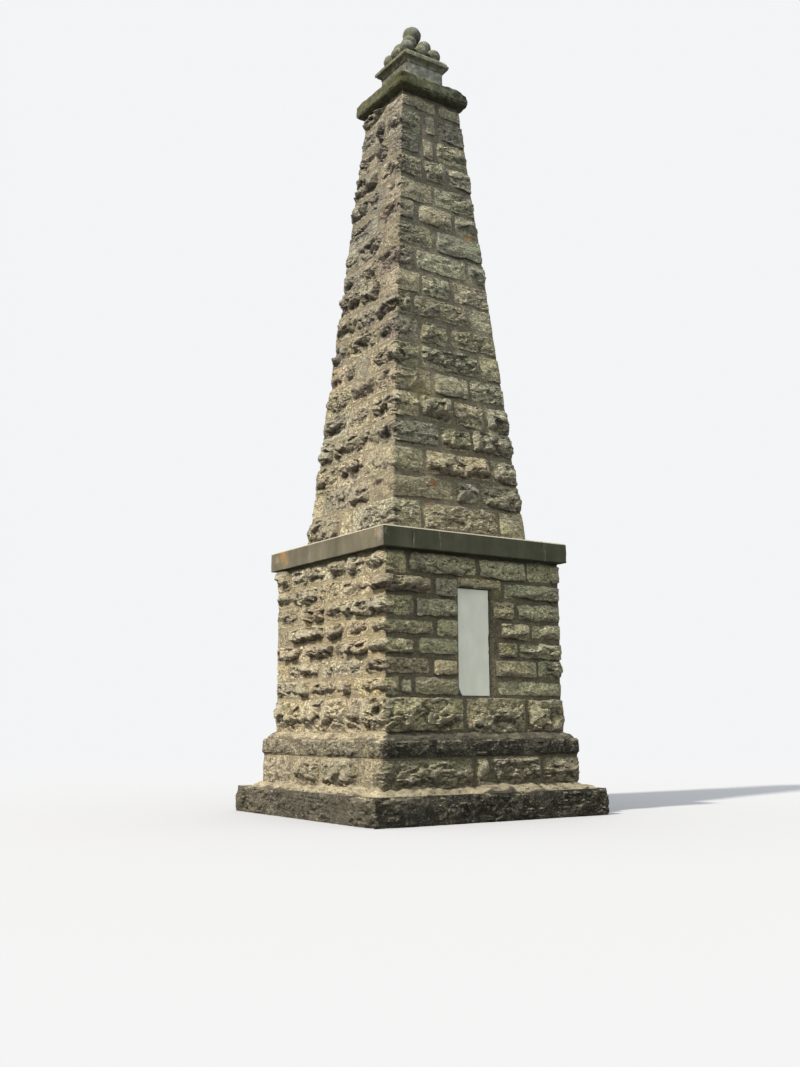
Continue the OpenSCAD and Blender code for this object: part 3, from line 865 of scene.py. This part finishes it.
def lay_course(node, finish, halves, layout, look, seed, tablet=None, hollows=(), calm=(0, 0)):
    """One course: a ring of stones set in mortar, closed at its beds.

    halves are its half widths at the foot and the head. layout holds, for each side, the shares of its
    width at which two stones meet, and calm the stretch of the ring, in sides, where stones are smooth."""
    rng = np.random.default_rng(seed)
    z0, z1 = (corner.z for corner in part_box(node))
    h = z1 - z0
    half = sum(halves) / 2
    width = 2 * half
    look = SimpleNamespace(**look)
    joints = [width * (side + share) for side, shares in enumerate(layout) for share in shares]
    stones = list(zip(joints, joints[1:] + [joints[0] + 4 * width]))
    count = len(stones)
    centres = np.array([(a + b) / 2 / width for a, b in stones])

    def spread(low, high):
        return rng.uniform(low, high, count)

    left_gap = look.joint / 2 * spread(0.5, 1.6)
    right_gap = look.joint / 2 * spread(0.5, 1.6)
    foot_gap = look.foot * spread(0.4, look.uneven)
    head_gap = look.head * spread(0.4, look.uneven)
    recess, raised = None, []
    if tablet:
        recess = SimpleNamespace(
            left=tablet.left + half, right=tablet.right + half, top=tablet.top - z0, sill=tablet.foot - z0,
            face=tablet.face, back=tablet.back,
        )
        over = [b > recess.left + 0.05 and a < recess.right - 0.05 for a, b in stones]
        raised = [j for j in range(count) if over[j] and recess.top < h]
    columns, owners = course_columns(stones, left_gap, right_gap, width, look, recess)
    stops = [0, look.foot, look.foot + look.wall, h - look.head - look.wall, h - look.head, h]
    rows = np.array(grid_lines(stops, look.row))
    start = np.array([a for a, _ in stones])[owners]
    length = np.array([b - a for a, b in stones])[owners]
    up = rows[:, None]

    # The edges of each stone wander, which moves the grid's own lines along with them
    def wandering(gap, least, *where):
        return np.maximum(gap[owners] + look.shake * noise.layers(*where), least)

    gap_l = wandering(left_gap, look.joint * 0.2, up / 0.18, owners * 5.7, seed)
    gap_r = wandering(right_gap, look.joint * 0.2, up / 0.18, owners * 5.7 + 90, seed)
    gap_f = wandering(foot_gap, look.foot * 0.3, columns / 0.24, seed + 0.5, owners * 3.3)
    gap_h = wandering(head_gap, look.head * 0.3, columns / 0.24, seed + 7.5, owners * 3.3)
    for j in raised:  # these stones are over the tablet, and start above it
        gap_f = np.where(owners == j, recess.top + 0.010 + 0.3 * (gap_f - look.foot), gap_f)
    along = start + shifted(columns - start, length, left_gap[owners], right_gap[owners], gap_l, gap_r)
    level = shifted(up, h, look.foot, look.head, gap_f, gap_h)
    if recess:
        opening, along, level = squared_off(rows, columns, along, level, joints, h, recess)
    sides = along / width

    # Distance in from the outline of the stone, with its corners rounded
    inset_x = np.minimum(along - start - gap_l, start + length - gap_r - along)
    inset_z = np.minimum(level - gap_f, h - gap_h - level)
    rounding = look.rounding * spread(0.6, 1.5)
    bare = by_side(centres, look.bare)
    rounding[raised], bare[raised] = 0.015, 0.7
    rounding = np.minimum(rounding[owners], 0.4 * np.minimum(length, h))
    diagonal = rounding - np.hypot(rounding - inset_x, rounding - inset_z)
    in_corner = (inset_x < rounding) & (inset_z < rounding)
    inset = np.where(in_corner, diagonal, np.minimum(inset_x, inset_z))
    is_stone = eased(inset, 0, look.wall)

    # The face of the stone juts out, slopes back to its head, and falls off in planes towards its edges
    share = np.clip((level - gap_f) / (h - gap_f - gap_h), 0, 1)
    peak = spread(*look.peak)[owners] + by_side(sides, look.lift)
    peak = np.clip(peak + 0.18 * noise(along / 0.22, owners * 1.7, seed), 0.08, 0.8)
    jut = eased(share, 0, peak) * (1 - spread(0.35, 0.95)[owners] * eased(share, peak, 1.05))
    margins = 1 - (1 - np.clip(inset_x / look.margin, 0, 1)) ** 2
    fall = falling_off(spread, owners, along - start - length / 2, level - h / 2, length, h)

    # It is broken all over, less so on smooth stones, and swells more or less at the obelisk's corners
    step = (level + 0.035 * noise(along / 0.16, owners * 9.1, seed)) / look.ledge + rng.random(count)[owners]
    lobes, crags = broken_face(along, level, owners, seed, step)
    smooth = rng.random(count) < look.smooth
    smooth |= (centres % 4 > calm[0]) & (centres % 4 < calm[1])
    crag = np.where(smooth, 0.28, rng.uniform(*look.rough, count)) * look.crag
    bulge = np.where(rng.random(count) < 0.28, spread(1.4, 2.0), spread(0.3, 1.2))
    if recess:
        bulge = np.where([abs(b - recess.left) < 0.08 for _, b in stones], 0.35, bulge)
    bulge = np.where(smooth, 0.35, bulge) * look.bulge
    corner = np.round(sides)
    near_corner = corner % 4 == 0
    draft = np.abs(along - width * corner) + 0.03 * noise(level / 0.09, owners + 3.0, seed)
    draft = eased(draft / np.where(near_corner, 0.08, look.draft), 0.0, 1.0)
    draft = draft + (1 - draft) * np.where(near_corner, look.arris, look.far_arris)
    swell = draft * by_side(sides, look.bold) * bulge[owners] * jut * lobes * (0.35 + 0.65 * margins)
    face = spread(*look.stand)[owners] + swell - fall
    face = face + (0.4 + 0.6 * draft) * crag[owners] * by_side(sides, look.broken) * crags

    # Stones stand out of the mortar bed, which is trowelled unevenly and cut back round the tablet
    half_here = halves[0] + (halves[1] - halves[0]) * level / h
    x, y, out_x, out_y = round_square(sides % 4, half_here, look.corner)
    trowel = noise.layers(x * 6, y * 6, (z0 + level) * 6, 4)
    bed = by_side(sides, look.depth) + by_side(sides, (0.008, 0.010, 0.010, 0.014)) * trowel
    depth = hollowed(bed + np.maximum(face - bed, 0.002) * is_stone, along, level, hollows, width, h, seed)
    # Soot of each side, partly painted shade on the sides away from the sun
    soot = by_side(sides, look.soot)
    if recess:
        depth, beside = recessed(depth, bed, along, level, opening, recess, seed)
        is_stone = np.where(beside, 0, is_stone)
        inset = np.where(beside, -0.06, inset)
        # Beside the tablet the mortar is darker: painted shade in the recess, partly dirt
        soot = np.where(beside, 0.55, soot)

    # Undersides hang over the joint below, where a painted shade is marked
    if look.foot > 0.002:
        hang = (1 - eased(level - gap_f, 0, 0.06)) * is_stone * np.clip(0.5 * (depth - bed), 0, 0.022)
    else:
        hang = 0
    over = np.roll(np.maximum(depth - bed, 0), -2, axis=0)
    # Marks the joint under an overhanging stone for painted shade
    foot = np.exp(-((level - hang - gap_f + 0.004) / 0.012) ** 2) * eased(over, 0.010, 0.040) * (inset_x > 0)
    flat = look.limit - 0.008 * np.logaddexp(0, (look.limit - depth) / 0.008)
    points = np.stack([x + out_x * flat, y + out_y * flat, z0 + level - hang], -1)
    points[0, :, 2], points[-1, :, 2] = z0, z1
    values = dict(
        rim=np.clip(inset / 0.06 + bare[owners], -1, 1),
        tone=np.broadcast_to(rng.random(count)[owners], x.shape),
        damp=by_side(sides, look.damp),
        soot=soot,
        foot=foot,
        relief=relief_of(depth) * is_stone,
        calm=np.broadcast_to(smooth[owners], x.shape),
    )
    make_piece(node, finish, points.reshape(-1, 3), ring_faces(*x.shape), values)


# Where the stones of a course meet, as shares of the side's width, read off the photograph for the
# front and the left side. The left side's shares run from the front towards the back.
PEDESTAL_FRONT = [
    (0.43, 0.78), (0.08, 0.15, 0.40, 0.61), (0.25, 0.40, 0.60, 0.85), (0.17, 0.40, 0.62, 0.74),
    (0.27, 0.40, 0.628, 0.81), (0.16, 0.40, 0.587, 0.73), (0.26, 0.40, 0.50, 0.645), (0.12, 0.51, 0.80),
]
PEDESTAL_LEFT = [
    (0.18, 0.32, 0.71), (0.27, 0.41, 0.66, 0.76), (0.18, 0.56, 0.86), (0.13, 0.33, 0.43, 0.67),
    (0.13, 0.34, 0.52, 0.84), (0.35, 0.52, 0.71), (0.12, 0.39, 0.57, 0.84), (0.16, 0.32, 0.47, 0.85),
]
SHAFT_FRONT = [
    (0.215, 0.785), (0.47, 0.66), (0.24, 0.78), (0.37, 0.645), (0.215, 0.50, 0.79), (0.335, 0.665),
    (0.22, 0.80), (0.22, 0.515), (0.16, 0.74), (0.25, 0.58), (0.185, 0.78), (0.42,),
    (0.22, 0.69), (0.45,), (0.33, 0.66), (0.29, 0.51), (0.34, 0.555), (0.60,),
]
SHAFT_LEFT = [
    (0.455, 0.60), (0.26, 0.50, 0.83), (0.37, 0.70), (0.24, 0.78), (0.31, 0.62), (0.27, 0.60),
    (0.42, 0.57, 0.72), (0.30, 0.76), (0.33, 0.64), (0.27, 0.60), (0.37, 0.57), (0.30, 0.74),
    (0.42,), (0.33, 0.62), (0.46,), (0.30, 0.55), (0.42, 0.56), (0.45,),
]
# Where the stones are smooth, by course: the stretch of the ring, in sides from the front's left corner
PEDESTAL_CALM = {2: (0.1, 1.0), 3: (0.05, 0.9), 4: (0.2, 0.4), 5: (0.27, 0.4)}
SHAFT_CALM = {
    1: (3.40, 3.545), 2: (0.0, 0.47), 6: (0.335, 0.665), 7: (3.43, 3.58), 13: (0.22, 0.69),
    16: (0.29, 1.0), 17: (0.2, 1.0), 18: (0.0, 1.0),
}

# The looks of the courses, with lengths in metres. Four numbers are for the front, right, back and left
# sides, and a pair is a range that each stone draws from.
# Mortar: joint is the width of the upright joints, foot and head are the mortar below and above a stone,
# uneven is how far these two vary, shake how much the joints wander, and depth how far out they stand.
# Stones: wall is how wide their walls are, rounding the radius of their outline's corners, margin the
# width over which they rise, stand how far out they start, bulge times bold how much further they swell,
# peak the share of their height where they swell most, raised by lift, crag times rough and broken the
# height of their crags, ledge the spacing of their ledges, and smooth the share of smooth stones.
# Corners of the obelisk: corner is their radius. arris scales the swelling at the near corner, and
# far_arris at the others, from draft away. Nothing stands further out than limit.
# Colour: soot and damp are stored for the material, both partly painted shade on the sides away from
# the sun, and bare keeps mortar off the edges of the stones.
# Grid: row and column are its spacing.
PEDESTAL_LOOK = dict(
    joint=0.048, foot=0.018, head=0.018, uneven=2.2, depth=(-0.036, -0.024, -0.036, -0.014),
    bold=(0.7, 1.3, 0.9, 1.9), wall=0.012, corner=0.035, shake=0.020, rounding=0.035, margin=0.045,
    bulge=0.050, peak=(0.16, 0.5), stand=(-0.026, -0.008), crag=0.019, ledge=0.085, smooth=0.0,
    row=0.0122, column=0.018, limit=0.080, draft=0.14, arris=0.9, far_arris=0.15, soot=0.0,
    damp=(1.0, 0.4, 0.8, 0.0), rough=(0.35, 1.2), bare=(-0.2, 0.1, 0.0, 0.10), broken=(0.5, 0.95, 0.8, 0.9),
    lift=(0.0, 0.12, 0.1, 0.2),
)
FIRST_LOOK = dict(
    PEDESTAL_LOOK, foot=0.10, uneven=1.2, row=0.0145, broken=(0.52, 0.95, 0.8, 0.9),
    bold=(0.95, 1.3, 0.9, 1.9),
)
SHAFT_LOOK = dict(
    PEDESTAL_LOOK, depth=(-0.033, -0.022, -0.034, -0.012), shake=0.022, bulge=0.048, crag=0.020, ledge=0.12,
    bold=(0.95, 1.2, 0.9, 1.6), draft=0.13, arris=1.7, far_arris=0.3, smooth=0.08, corner=0.045,
    damp=(0.75, 0.4, 0.7, 0.1), rough=(0.6, 1.2), bare=(-0.1, 0.1, 0.0, 0.14), broken=(0.60, 0.95, 0.9, 0.9),
    lift=(0.1, 0.12, 0.1, 0.2),
)
STEP_LOOK = dict(
    PEDESTAL_LOOK, joint=0.012, foot=0.001, head=0.006, uneven=1.4, depth=-0.026, bold=1.0, wall=0.030,
    corner=0.03, shake=0.006, rounding=0.06, margin=0.10, bulge=0.034, peak=(0.5, 0.72), crag=0.028,
    stand=(-0.028, -0.010), ledge=0.30, row=0.016, column=0.024, limit=0.0, arris=0.6, rough=(0.7, 1.2),
    soot=(1.0, 0.9, 0.9, 0.8), damp=(1.0, 0.6, 0.9, 0.5), bare=0.8, broken=1.0, lift=0.0,
)
BLOCK_LOOK = dict(
    STEP_LOOK, joint=0.055, foot=0.05, head=0.034, depth=-0.014, limit=0.06, shake=0.02, bulge=0.062,
    crag=0.014, peak=(0.42, 0.62), margin=0.13, stand=(-0.012, 0.006), soot=(0.46, 0.6, 0.65, 0.24),
    damp=(1.0, 0.4, 0.8, 0.0), bare=0.1,
)
COPING_LOOK = dict(
    STEP_LOOK, joint=0.010, foot=0.008, head=0.004, depth=-0.004, peak=(0.35, 0.75), limit=0.04, wall=0.02,
    stand=(0.004, 0.014), bulge=0.022, crag=0.014, soot=(1.0, 0.8, 0.9, 0.54), damp=(1.0, 0.4, 0.8, 0.15),
    bare=0.7,
)

# Worn places of the pedestal's first course and of the lower step: the place round the ring, in sides,
# the share of the course's height, and the width, height and depth of the place
PEDESTAL_HOLLOWS = (
    (0.64, 0.38, 0.34, 0.12, 0.05), (0.93, 0.52, 0.24, 0.14, 0.05), (0.20, 0.60, 0.22, 0.11, 0.035),
    (0.33, 0.30, 0.30, 0.10, 0.03),
)
STEP_HOLLOWS = (
    (0.0, 0.45, 0.52, 0.50, 0.055), (0.09, 0.98, 0.34, 0.10, 0.03),
    (0.23, 0.95, 0.26, 0.14, 0.035), (3.90, 0.96, 0.30, 0.12, 0.035), (3.80, 0.60, 0.40, 0.16, 0.03),
    (0.40, 0.35, 0.40, 0.14, 0.03), (0.62, 0.97, 0.40, 0.12, 0.03), (0.80, 0.50, 0.36, 0.20, 0.03),
    (1.0, 0.97, 0.20, 0.14, 0.02), (3.0, 0.97, 0.24, 0.14, 0.02),
)
# Deep hollows on the left side of the shaft: the course, the share of the side from the near corner, and
# the rest as above
SHAFT_HOLLOWS = (
    (2, 0.19, 0.72, 0.20, 0.10, 0.06), (3, 0.475, 0.42, 0.27, 0.15, 0.11), (3, 0.605, 0.42, 0.14, 0.12, 0.07),
    (4, 0.135, 0.36, 0.32, 0.18, 0.12), (4, 0.96, 0.50, 0.20, 0.20, 0.10), (5, 0.18, 0.45, 0.34, 0.20, 0.11),
    (5, 0.83, 0.36, 0.50, 0.13, 0.09), (6, 0.145, 0.66, 0.14, 0.18, 0.07), (7, 0.92, 0.30, 0.30, 0.10, 0.07),
    (8, 0.18, 0.40, 0.26, 0.16, 0.08), (8, 0.55, 0.48, 0.58, 0.22, 0.12), (8, 0.95, 0.60, 0.18, 0.16, 0.08),
    (10, 0.97, 0.55, 0.24, 0.20, 0.10), (11, 0.24, 0.76, 0.40, 0.12, 0.07),
    (11, 0.90, 0.36, 0.34, 0.10, 0.07), (12, 0.52, 0.60, 0.40, 0.08, 0.05),
    (13, 0.25, 0.58, 0.36, 0.22, 0.09), (13, 0.80, 0.62, 0.50, 0.08, 0.05),
    (14, 0.19, 0.66, 0.18, 0.12, 0.05), (15, 0.27, 0.62, 0.15, 0.14, 0.05),
    (15, 0.85, 0.52, 0.40, 0.10, 0.06), (16, 0.44, 0.70, 0.18, 0.09, 0.04),
    (16, 0.80, 0.66, 0.40, 0.08, 0.05),
)


def random_layout(rng, width, stone):
    """Shares for one side: about so many metres a stone, no two alike."""
    steps = rng.uniform(0.55, 1.45, max(2, round(width / stone)))
    return tuple(np.cumsum(steps)[:-1] / steps.sum())


def side_layouts(rng, width, stone, front=None, left=None):
    """Layouts of the four sides. The left side is turned round, because the ring runs the other way."""
    sides = [front or random_layout(rng, width, stone)]
    sides += [random_layout(rng, width, stone) for _ in ("right", "back")]
    left = left or random_layout(rng, width, stone)
    return sides + [tuple(1 - share for share in reversed(left))]


def lay_masonry():
    """The pedestal, the shaft and the stones of the two steps."""
    finish = ("stones", "rock_faced_stone", masonry_paint())
    rng = np.random.default_rng(11)
    usual_stone, gap = 0.58, 0.012
    low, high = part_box("marble_tablet")
    tablet = SimpleNamespace(
        left=low.x - gap, right=high.x + gap, top=high.z + gap, foot=low.z + 0.028,
        face=-0.062, back=-(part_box("pedestal_course_1")[1].x + high.y),
    )
    for course, (front, left) in enumerate(zip(PEDESTAL_FRONT, PEDESTAL_LEFT), 1):
        node = f"pedestal_course_{course}"
        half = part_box(node)[1].x
        layout = side_layouts(rng, 2 * half, usual_stone, front, left)
        look, hollows = (FIRST_LOOK, PEDESTAL_HOLLOWS) if course == 1 else (PEDESTAL_LOOK, ())
        holds = tablet if 2 <= course <= 7 else None
        calm = PEDESTAL_CALM.get(course, (0, 0))
        lay_course(node, finish, (half, half), layout, look, 19 + course, holds, hollows, calm)

    low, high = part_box("shaft_course_1")
    lean = (SHAFT_HEAD - high.x) / (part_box("cap_slab")[0].z - low.z)
    for course, (front, left) in enumerate(zip(SHAFT_FRONT, SHAFT_LEFT), 1):
        node = f"shaft_course_{course}"
        halves = [high.x + lean * (corner.z - low.z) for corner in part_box(node)]
        layout = side_layouts(rng, 2 * halves[0], usual_stone, front, left)
        share = (course - 1) / (len(SHAFT_FRONT) - 1)
        bed_joint = 0.018 + 0.007 * share
        back = 0.012 - 0.026 * share
        look = dict(SHAFT_LOOK, joint=0.044 + 0.020 * share, foot=bed_joint, head=bed_joint)
        look.update({key: [v + back for v in SHAFT_LOOK[key]] for key in ("stand", "depth")})
        hollows = [(4 - place, *rest) for number, place, *rest in SHAFT_HOLLOWS if number == course]
        calm = SHAFT_CALM.get(course, (0, 0))
        lay_course(node, finish, halves, layout, look, 39 + course, None, hollows, calm)

    for node, look, stone, front, seed, hollows in (
        ("lower_step", STEP_LOOK, 0.9, None, 90, STEP_HOLLOWS),
        ("upper_step_blocks", BLOCK_LOOK, 0.7, (0.44, 0.52, 0.80), 97, ()),
        ("upper_step_coping", COPING_LOOK, 0.8, None, 97, ()),
    ):
        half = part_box(node)[1].x
        layout = side_layouts(rng, 2 * half, stone, front)
        lay_course(node, finish, (half, half), layout, look, seed, None, hollows)


# Washes, cornice, tablet, cap and balls

def lay_washes():
    """Mortar that slopes up from the edge of each step to what stands on it."""
    finish = ("mortar", "lime_mortar", mortar_paint())
    low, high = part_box("lower_wash")
    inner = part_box("upper_step_blocks")[1].x
    edge, foot, head = high.x, low.z, high.z
    sweep_square(
        "lower_wash", finish,
        [(inner - 0.12, foot - 0.03), (edge - 0.09, foot - 0.17), (edge - 0.022, foot - 0.14),
         (edge - 0.006, foot - 0.06), (edge - 0.028, foot - 0.006), (edge - 0.10, foot + 0.026),
         (inner - 0.05, head), (inner - 0.12, head + 0.005)],
        corner=0.07, radius=0.05, spacing=0.029, rough=0.028, wear=0.035, grain=0.13, closed=True, seed=3,
        wander=0.075, damp=(0.40, 0.5, 0.5, 0.16), limit=edge,
    )
    low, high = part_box("upper_wash")
    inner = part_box("pedestal_course_1")[1].x
    edge, foot, head = high.x, low.z, high.z
    sweep_square(
        "upper_wash", finish,
        [(inner - 0.09, foot - 0.03), (edge - 0.06, foot - 0.09), (edge + 0.008, foot - 0.07),
         (edge + 0.018, foot - 0.02), (edge + 0.004, foot + 0.014), (edge - 0.030, foot + 0.042),
         (edge - 0.075, foot + 0.070), (inner - 0.01, head + 0.004), (inner - 0.09, head + 0.012)],
        corner=0.06, radius=0.02, spacing=0.027, rough=0.016, wear=0.016, grain=0.10, closed=True, seed=9,
        wander=0.016, damp=(0.72, 0.7, 0.7, 0.0),
    )


def lay_cornice():
    """Four sawn slabs with a bevel along their outer top edge, and the mortared hearting between them."""
    finish = ("slab", "sawn_stone", cornice_paint())
    limit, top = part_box("cornice_left")[1].yz
    bevel_width, bevel_height, gap, squeezed = 0.018, 0.017, 0.004, 0.3
    for k, side in enumerate(("left", "right", "front", "back")):
        low, high = (np.array(v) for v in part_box(f"cornice_{side}"))
        flank = side in ("left", "right")
        if not flank:
            low[0] += gap
            high[0] -= gap
        spacing = (0.15, 0.03, 0.05) if flank else (0.03, 0.15, 0.05)
        fine = (0.006, 0.012, 0.018, 0.030)
        points, quads = box_shell(*(edge_lines(a, b, s, fine) for a, b, s in zip(low, high, spacing)))
        points, out = worn(points, low, high, 0.005, 0.0018, 5 * k)
        x, y, z = points.T / 0.12
        chips = np.maximum(noise.layers(x, y + k, z, 3) - 0.2, 0) * (1 - np.abs(out).max(1))
        points -= out * (chips * 0.10)[:, None]
        bevel = bevel_width * np.clip((points[:, 2] - top + bevel_height) / bevel_height, 0, 1)
        for axis in (0, 1) if flank else (1,):
            away = np.maximum(np.abs(points[:, axis]) - limit + squeezed, 0) / squeezed
            points[:, axis] -= np.sign(points[:, axis]) * away * bevel
        make_piece(f"cornice_{side}", finish, points, [quads])
    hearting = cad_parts["cornice_hearting"]
    hearting.data.materials.clear()
    hearting.data.materials.append(bpy.data.materials["lime_mortar"])


def hang_tablet():
    """The marble tablet: its lower left corner is chipped, and its right edge is worn in places."""
    low, high = (np.array(v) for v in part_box("marble_tablet"))
    fine = (0.004, 0.010)
    chip_wide, chip_tall, chip_step = 0.062, 0.12, 0.008
    xs = edge_lines(low[0], high[0], 0.03, fine, [low[0] + chip_step * i for i in range(1, 10)])
    ys = edge_lines(low[1], high[1], 0.02, (0.003, 0.008))
    wanted = [low[2] + chip_step * i for i in range(1, 18)] + [high[2] - d for d in fine]
    points, quads = box_shell(xs, ys, grid_lines([low[2], high[2]], 0.03, wanted))
    points, _ = worn(points, low, high, 0.0035, 0.0006, 2)
    x, z = points[:, 0] - low[0], points[:, 2] - low[2]
    chip = chip_wide * (1 - z / chip_tall) + 0.007 * noise.layers(points[:, 1] / 0.03, z / 0.03, x / 0.03, 2)
    points[:, 0] = low[0] + np.where(z < chip_tall + 0.01, np.maximum(x, chip), x)
    wavy = 0.010 * np.maximum(noise.layers(z / 0.20, 3.0, 0.0, 3), 0)
    notch = 0.010 * np.exp(-((z - 0.56) / 0.02) ** 2)
    points[:, 0] -= np.where(x > high[0] - low[0] - 0.02, wavy + notch, 0)
    make_piece("marble_tablet", ("slab", "white_marble", marble_paint()), points, [quads])


def lay_cap(material):
    """The cap slab, the neck block and the moulded slab, all weathered."""
    finish = ("stone", "weathered_stone", material)
    low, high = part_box("cap_slab")
    neck_low, neck_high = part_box("neck_block")
    edge, z, neck = high.x, low.z, neck_high.x
    sweep_square(
        "cap_slab", finish,
        [(SHAFT_HEAD - 0.03, z), (SHAFT_HEAD + 0.01, z + 0.004), (edge - 0.024, z + 0.022), (edge, z + 0.048),
         (edge, z + 0.199), (edge - 0.032, z + 0.237), (neck, high.z), (neck - 0.05, high.z)],
        corner=0.02, radius=0.014, rough=0.008, wear=0.024, lichen=1.0, seed=4,
        dents=(((edge, -edge, z + 0.20), 0.10, 0.06), ((-edge, -edge, z + 0.12), 0.04, 0.02),
               ((0.1, -edge, z + 0.21), 0.06, 0.02)),
    )
    sweep_square(
        "neck_block", finish, [(neck, neck_low.z), (neck, neck_high.z)],
        corner=0.02, rough=0.006, wear=0.02, seed=6, lichen=-0.1,
    )
    low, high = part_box("moulded_slab")
    edge, z = high.x, low.z
    fillet = neck + 0.010
    throat = edge - neck - 0.022
    quarter = np.linspace(0, math.pi / 2, 7)
    cove = [(fillet + throat * (1 - math.cos(a)), z + 0.012 + 0.058 * math.sin(a)) for a in quarter]
    sweep_square(
        "moulded_slab", finish,
        [(fillet, z), *cove, (edge, z + 0.070), (edge, z + 0.116), (edge - 0.055, high.z)],
        corner=0.015, radius=0.008, rough=0.005, wear=0.022, seed=8, lichen=0.55,
        dents=(((edge, -edge, z + 0.10), 0.05, 0.03), ((-edge, -edge, z + 0.13), 0.07, 0.04)),
    )


def rough_ball(centre, radius, seed, bed=-math.inf):
    """Points, triangles and painted shade of a weathered ball, flat on its bed. The painted shade is darkest
    on the side away from the sun and underneath.
    """
    bm = bmesh.new()
    bmesh.ops.create_icosphere(bm, subdivisions=4, radius=1)
    unit = np.array([v.co for v in bm.verts])
    faces = np.array([[v.index for v in f.verts] for f in bm.faces])
    bm.free()
    x, y, z = unit.T
    lumps = 0.05 * noise.layers(x * 1.7 + seed, y * 1.7, z * 1.7, 2)
    lumps = lumps + 0.014 * noise.layers(x * 9, y * 9 + seed, z * 9, 3)
    pits = 0.03 * np.maximum(noise.layers(x * 6, y * 6, z * 6 + seed, 2) - 0.3, 0)
    points = np.array(centre) + unit * (radius * np.minimum(0.985 + lumps - pits, 1.0))[:, None]
    points[:, 2] = np.maximum(points[:, 2], bed)
    x, y, z = (points - np.array(centre)).T / radius
    # Painted shade: darkest on the side away from the sun and underneath
    return points, faces, 0.74 * eased(x + 0.2 * y, -0.9, 0.6) + 0.25 * eased(-z, -0.2, 0.9)


def mortar_block(low, high, spacing, radius, rough, seed, soot, bed=-math.inf):
    """Points, quads and painted shade of a worn block."""
    points, quads = box_shell(*(edge_lines(a, b, spacing) for a, b in zip(low, high)))
    points, _ = worn(points, np.array(low), np.array(high), radius, rough, seed)
    points[:, 2] = np.maximum(points[:, 2], bed)
    return points, quads, np.full(len(points), soot)


def make_pile(node, word, material, balls, block, lichen):
    """One piece of balls and the block of mortar that holds them."""
    points, faces, soot = zip(*balls, block)
    first = np.cumsum([0] + [len(p) for p in points])
    faces = [table + shift for table, shift in zip(faces, first)]
    values = dict(
        soot=np.concatenate(soot), bloom=np.arange(first[-1]) < first[-2], lichen=np.full(first[-1], lichen),
    )
    make_piece(node, (word, "weathered_stone", material), np.concatenate(points), faces, values)


# How far some balls have been set off their places, by tier, column and row
BALL_SHIFTS = {
    (3, 0, 0): (-0.012, 0.008, 0.007), (3, 0, 1): (-0.013, 0.004, 0.0), (3, 2, 0): (-0.006, 0.004, 0.004),
    (2, 0, 0): (-0.010, 0.006, 0.010), (2, 1, 0): (0.014, -0.008, 0.003), (2, 0, 1): (-0.010, 0.006, 0.0),
}


def pile_balls(material):
    """Three by three balls, two by two and a larger one, with mortar between them."""
    low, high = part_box("ball_tier_lower")
    upper_low, upper_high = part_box("ball_tier_upper")
    pitch = (high.x - low.x) - (upper_high.x - upper_low.x)
    radius = (high.x - low.x) / 2 - pitch
    for node, count, seed in (("ball_tier_lower", 3, 0), ("ball_tier_upper", 2, 40)):
        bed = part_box(node)[0].z
        centre = bed + radius - 0.006
        balls = []
        for i in range(count):
            for j in range(count):
                place = Vector(((i - (count - 1) / 2) * pitch, (j - (count - 1) / 2) * pitch, centre))
                place += Vector(BALL_SHIFTS.get((count, i, j), (0, 0, 0)))
                balls.append(rough_ball(place, radius, seed + 3.7 * (count * i + j), bed))
        half = count * pitch / 2 - 0.115
        reach = (-half, -half, bed), (half, half, centre + 0.06)
        # Painted shade in the mortar between the balls
        fill = mortar_block(*reach, 0.02, 0.015, 0.018, seed, 1.0, bed)
        make_pile(node, "stones", material, balls, fill, 0.35)
    low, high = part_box("top_ball")
    radius = high.x
    reach = (-0.055, -0.055, low.z), (0.055, 0.055, high.z - 2 * radius + 0.03)
    # Painted shade in the collar under the top ball
    collar = mortar_block(*reach, 0.012, 0.02, 0.003, 7, 0.7)
    ball = rough_ball((0, 0, high.z - radius), radius, 90)
    make_pile("top_ball", "stone", material, [ball], collar, 0.45)


bpy.context.scene.view_settings.view_transform = "Standard"
aim_camera()
light_scene()
lay_floor()
lay_masonry()
lay_washes()
lay_cornice()
hang_tablet()
weathered = weathered_paint()
lay_cap(weathered)
pile_balls(weathered)
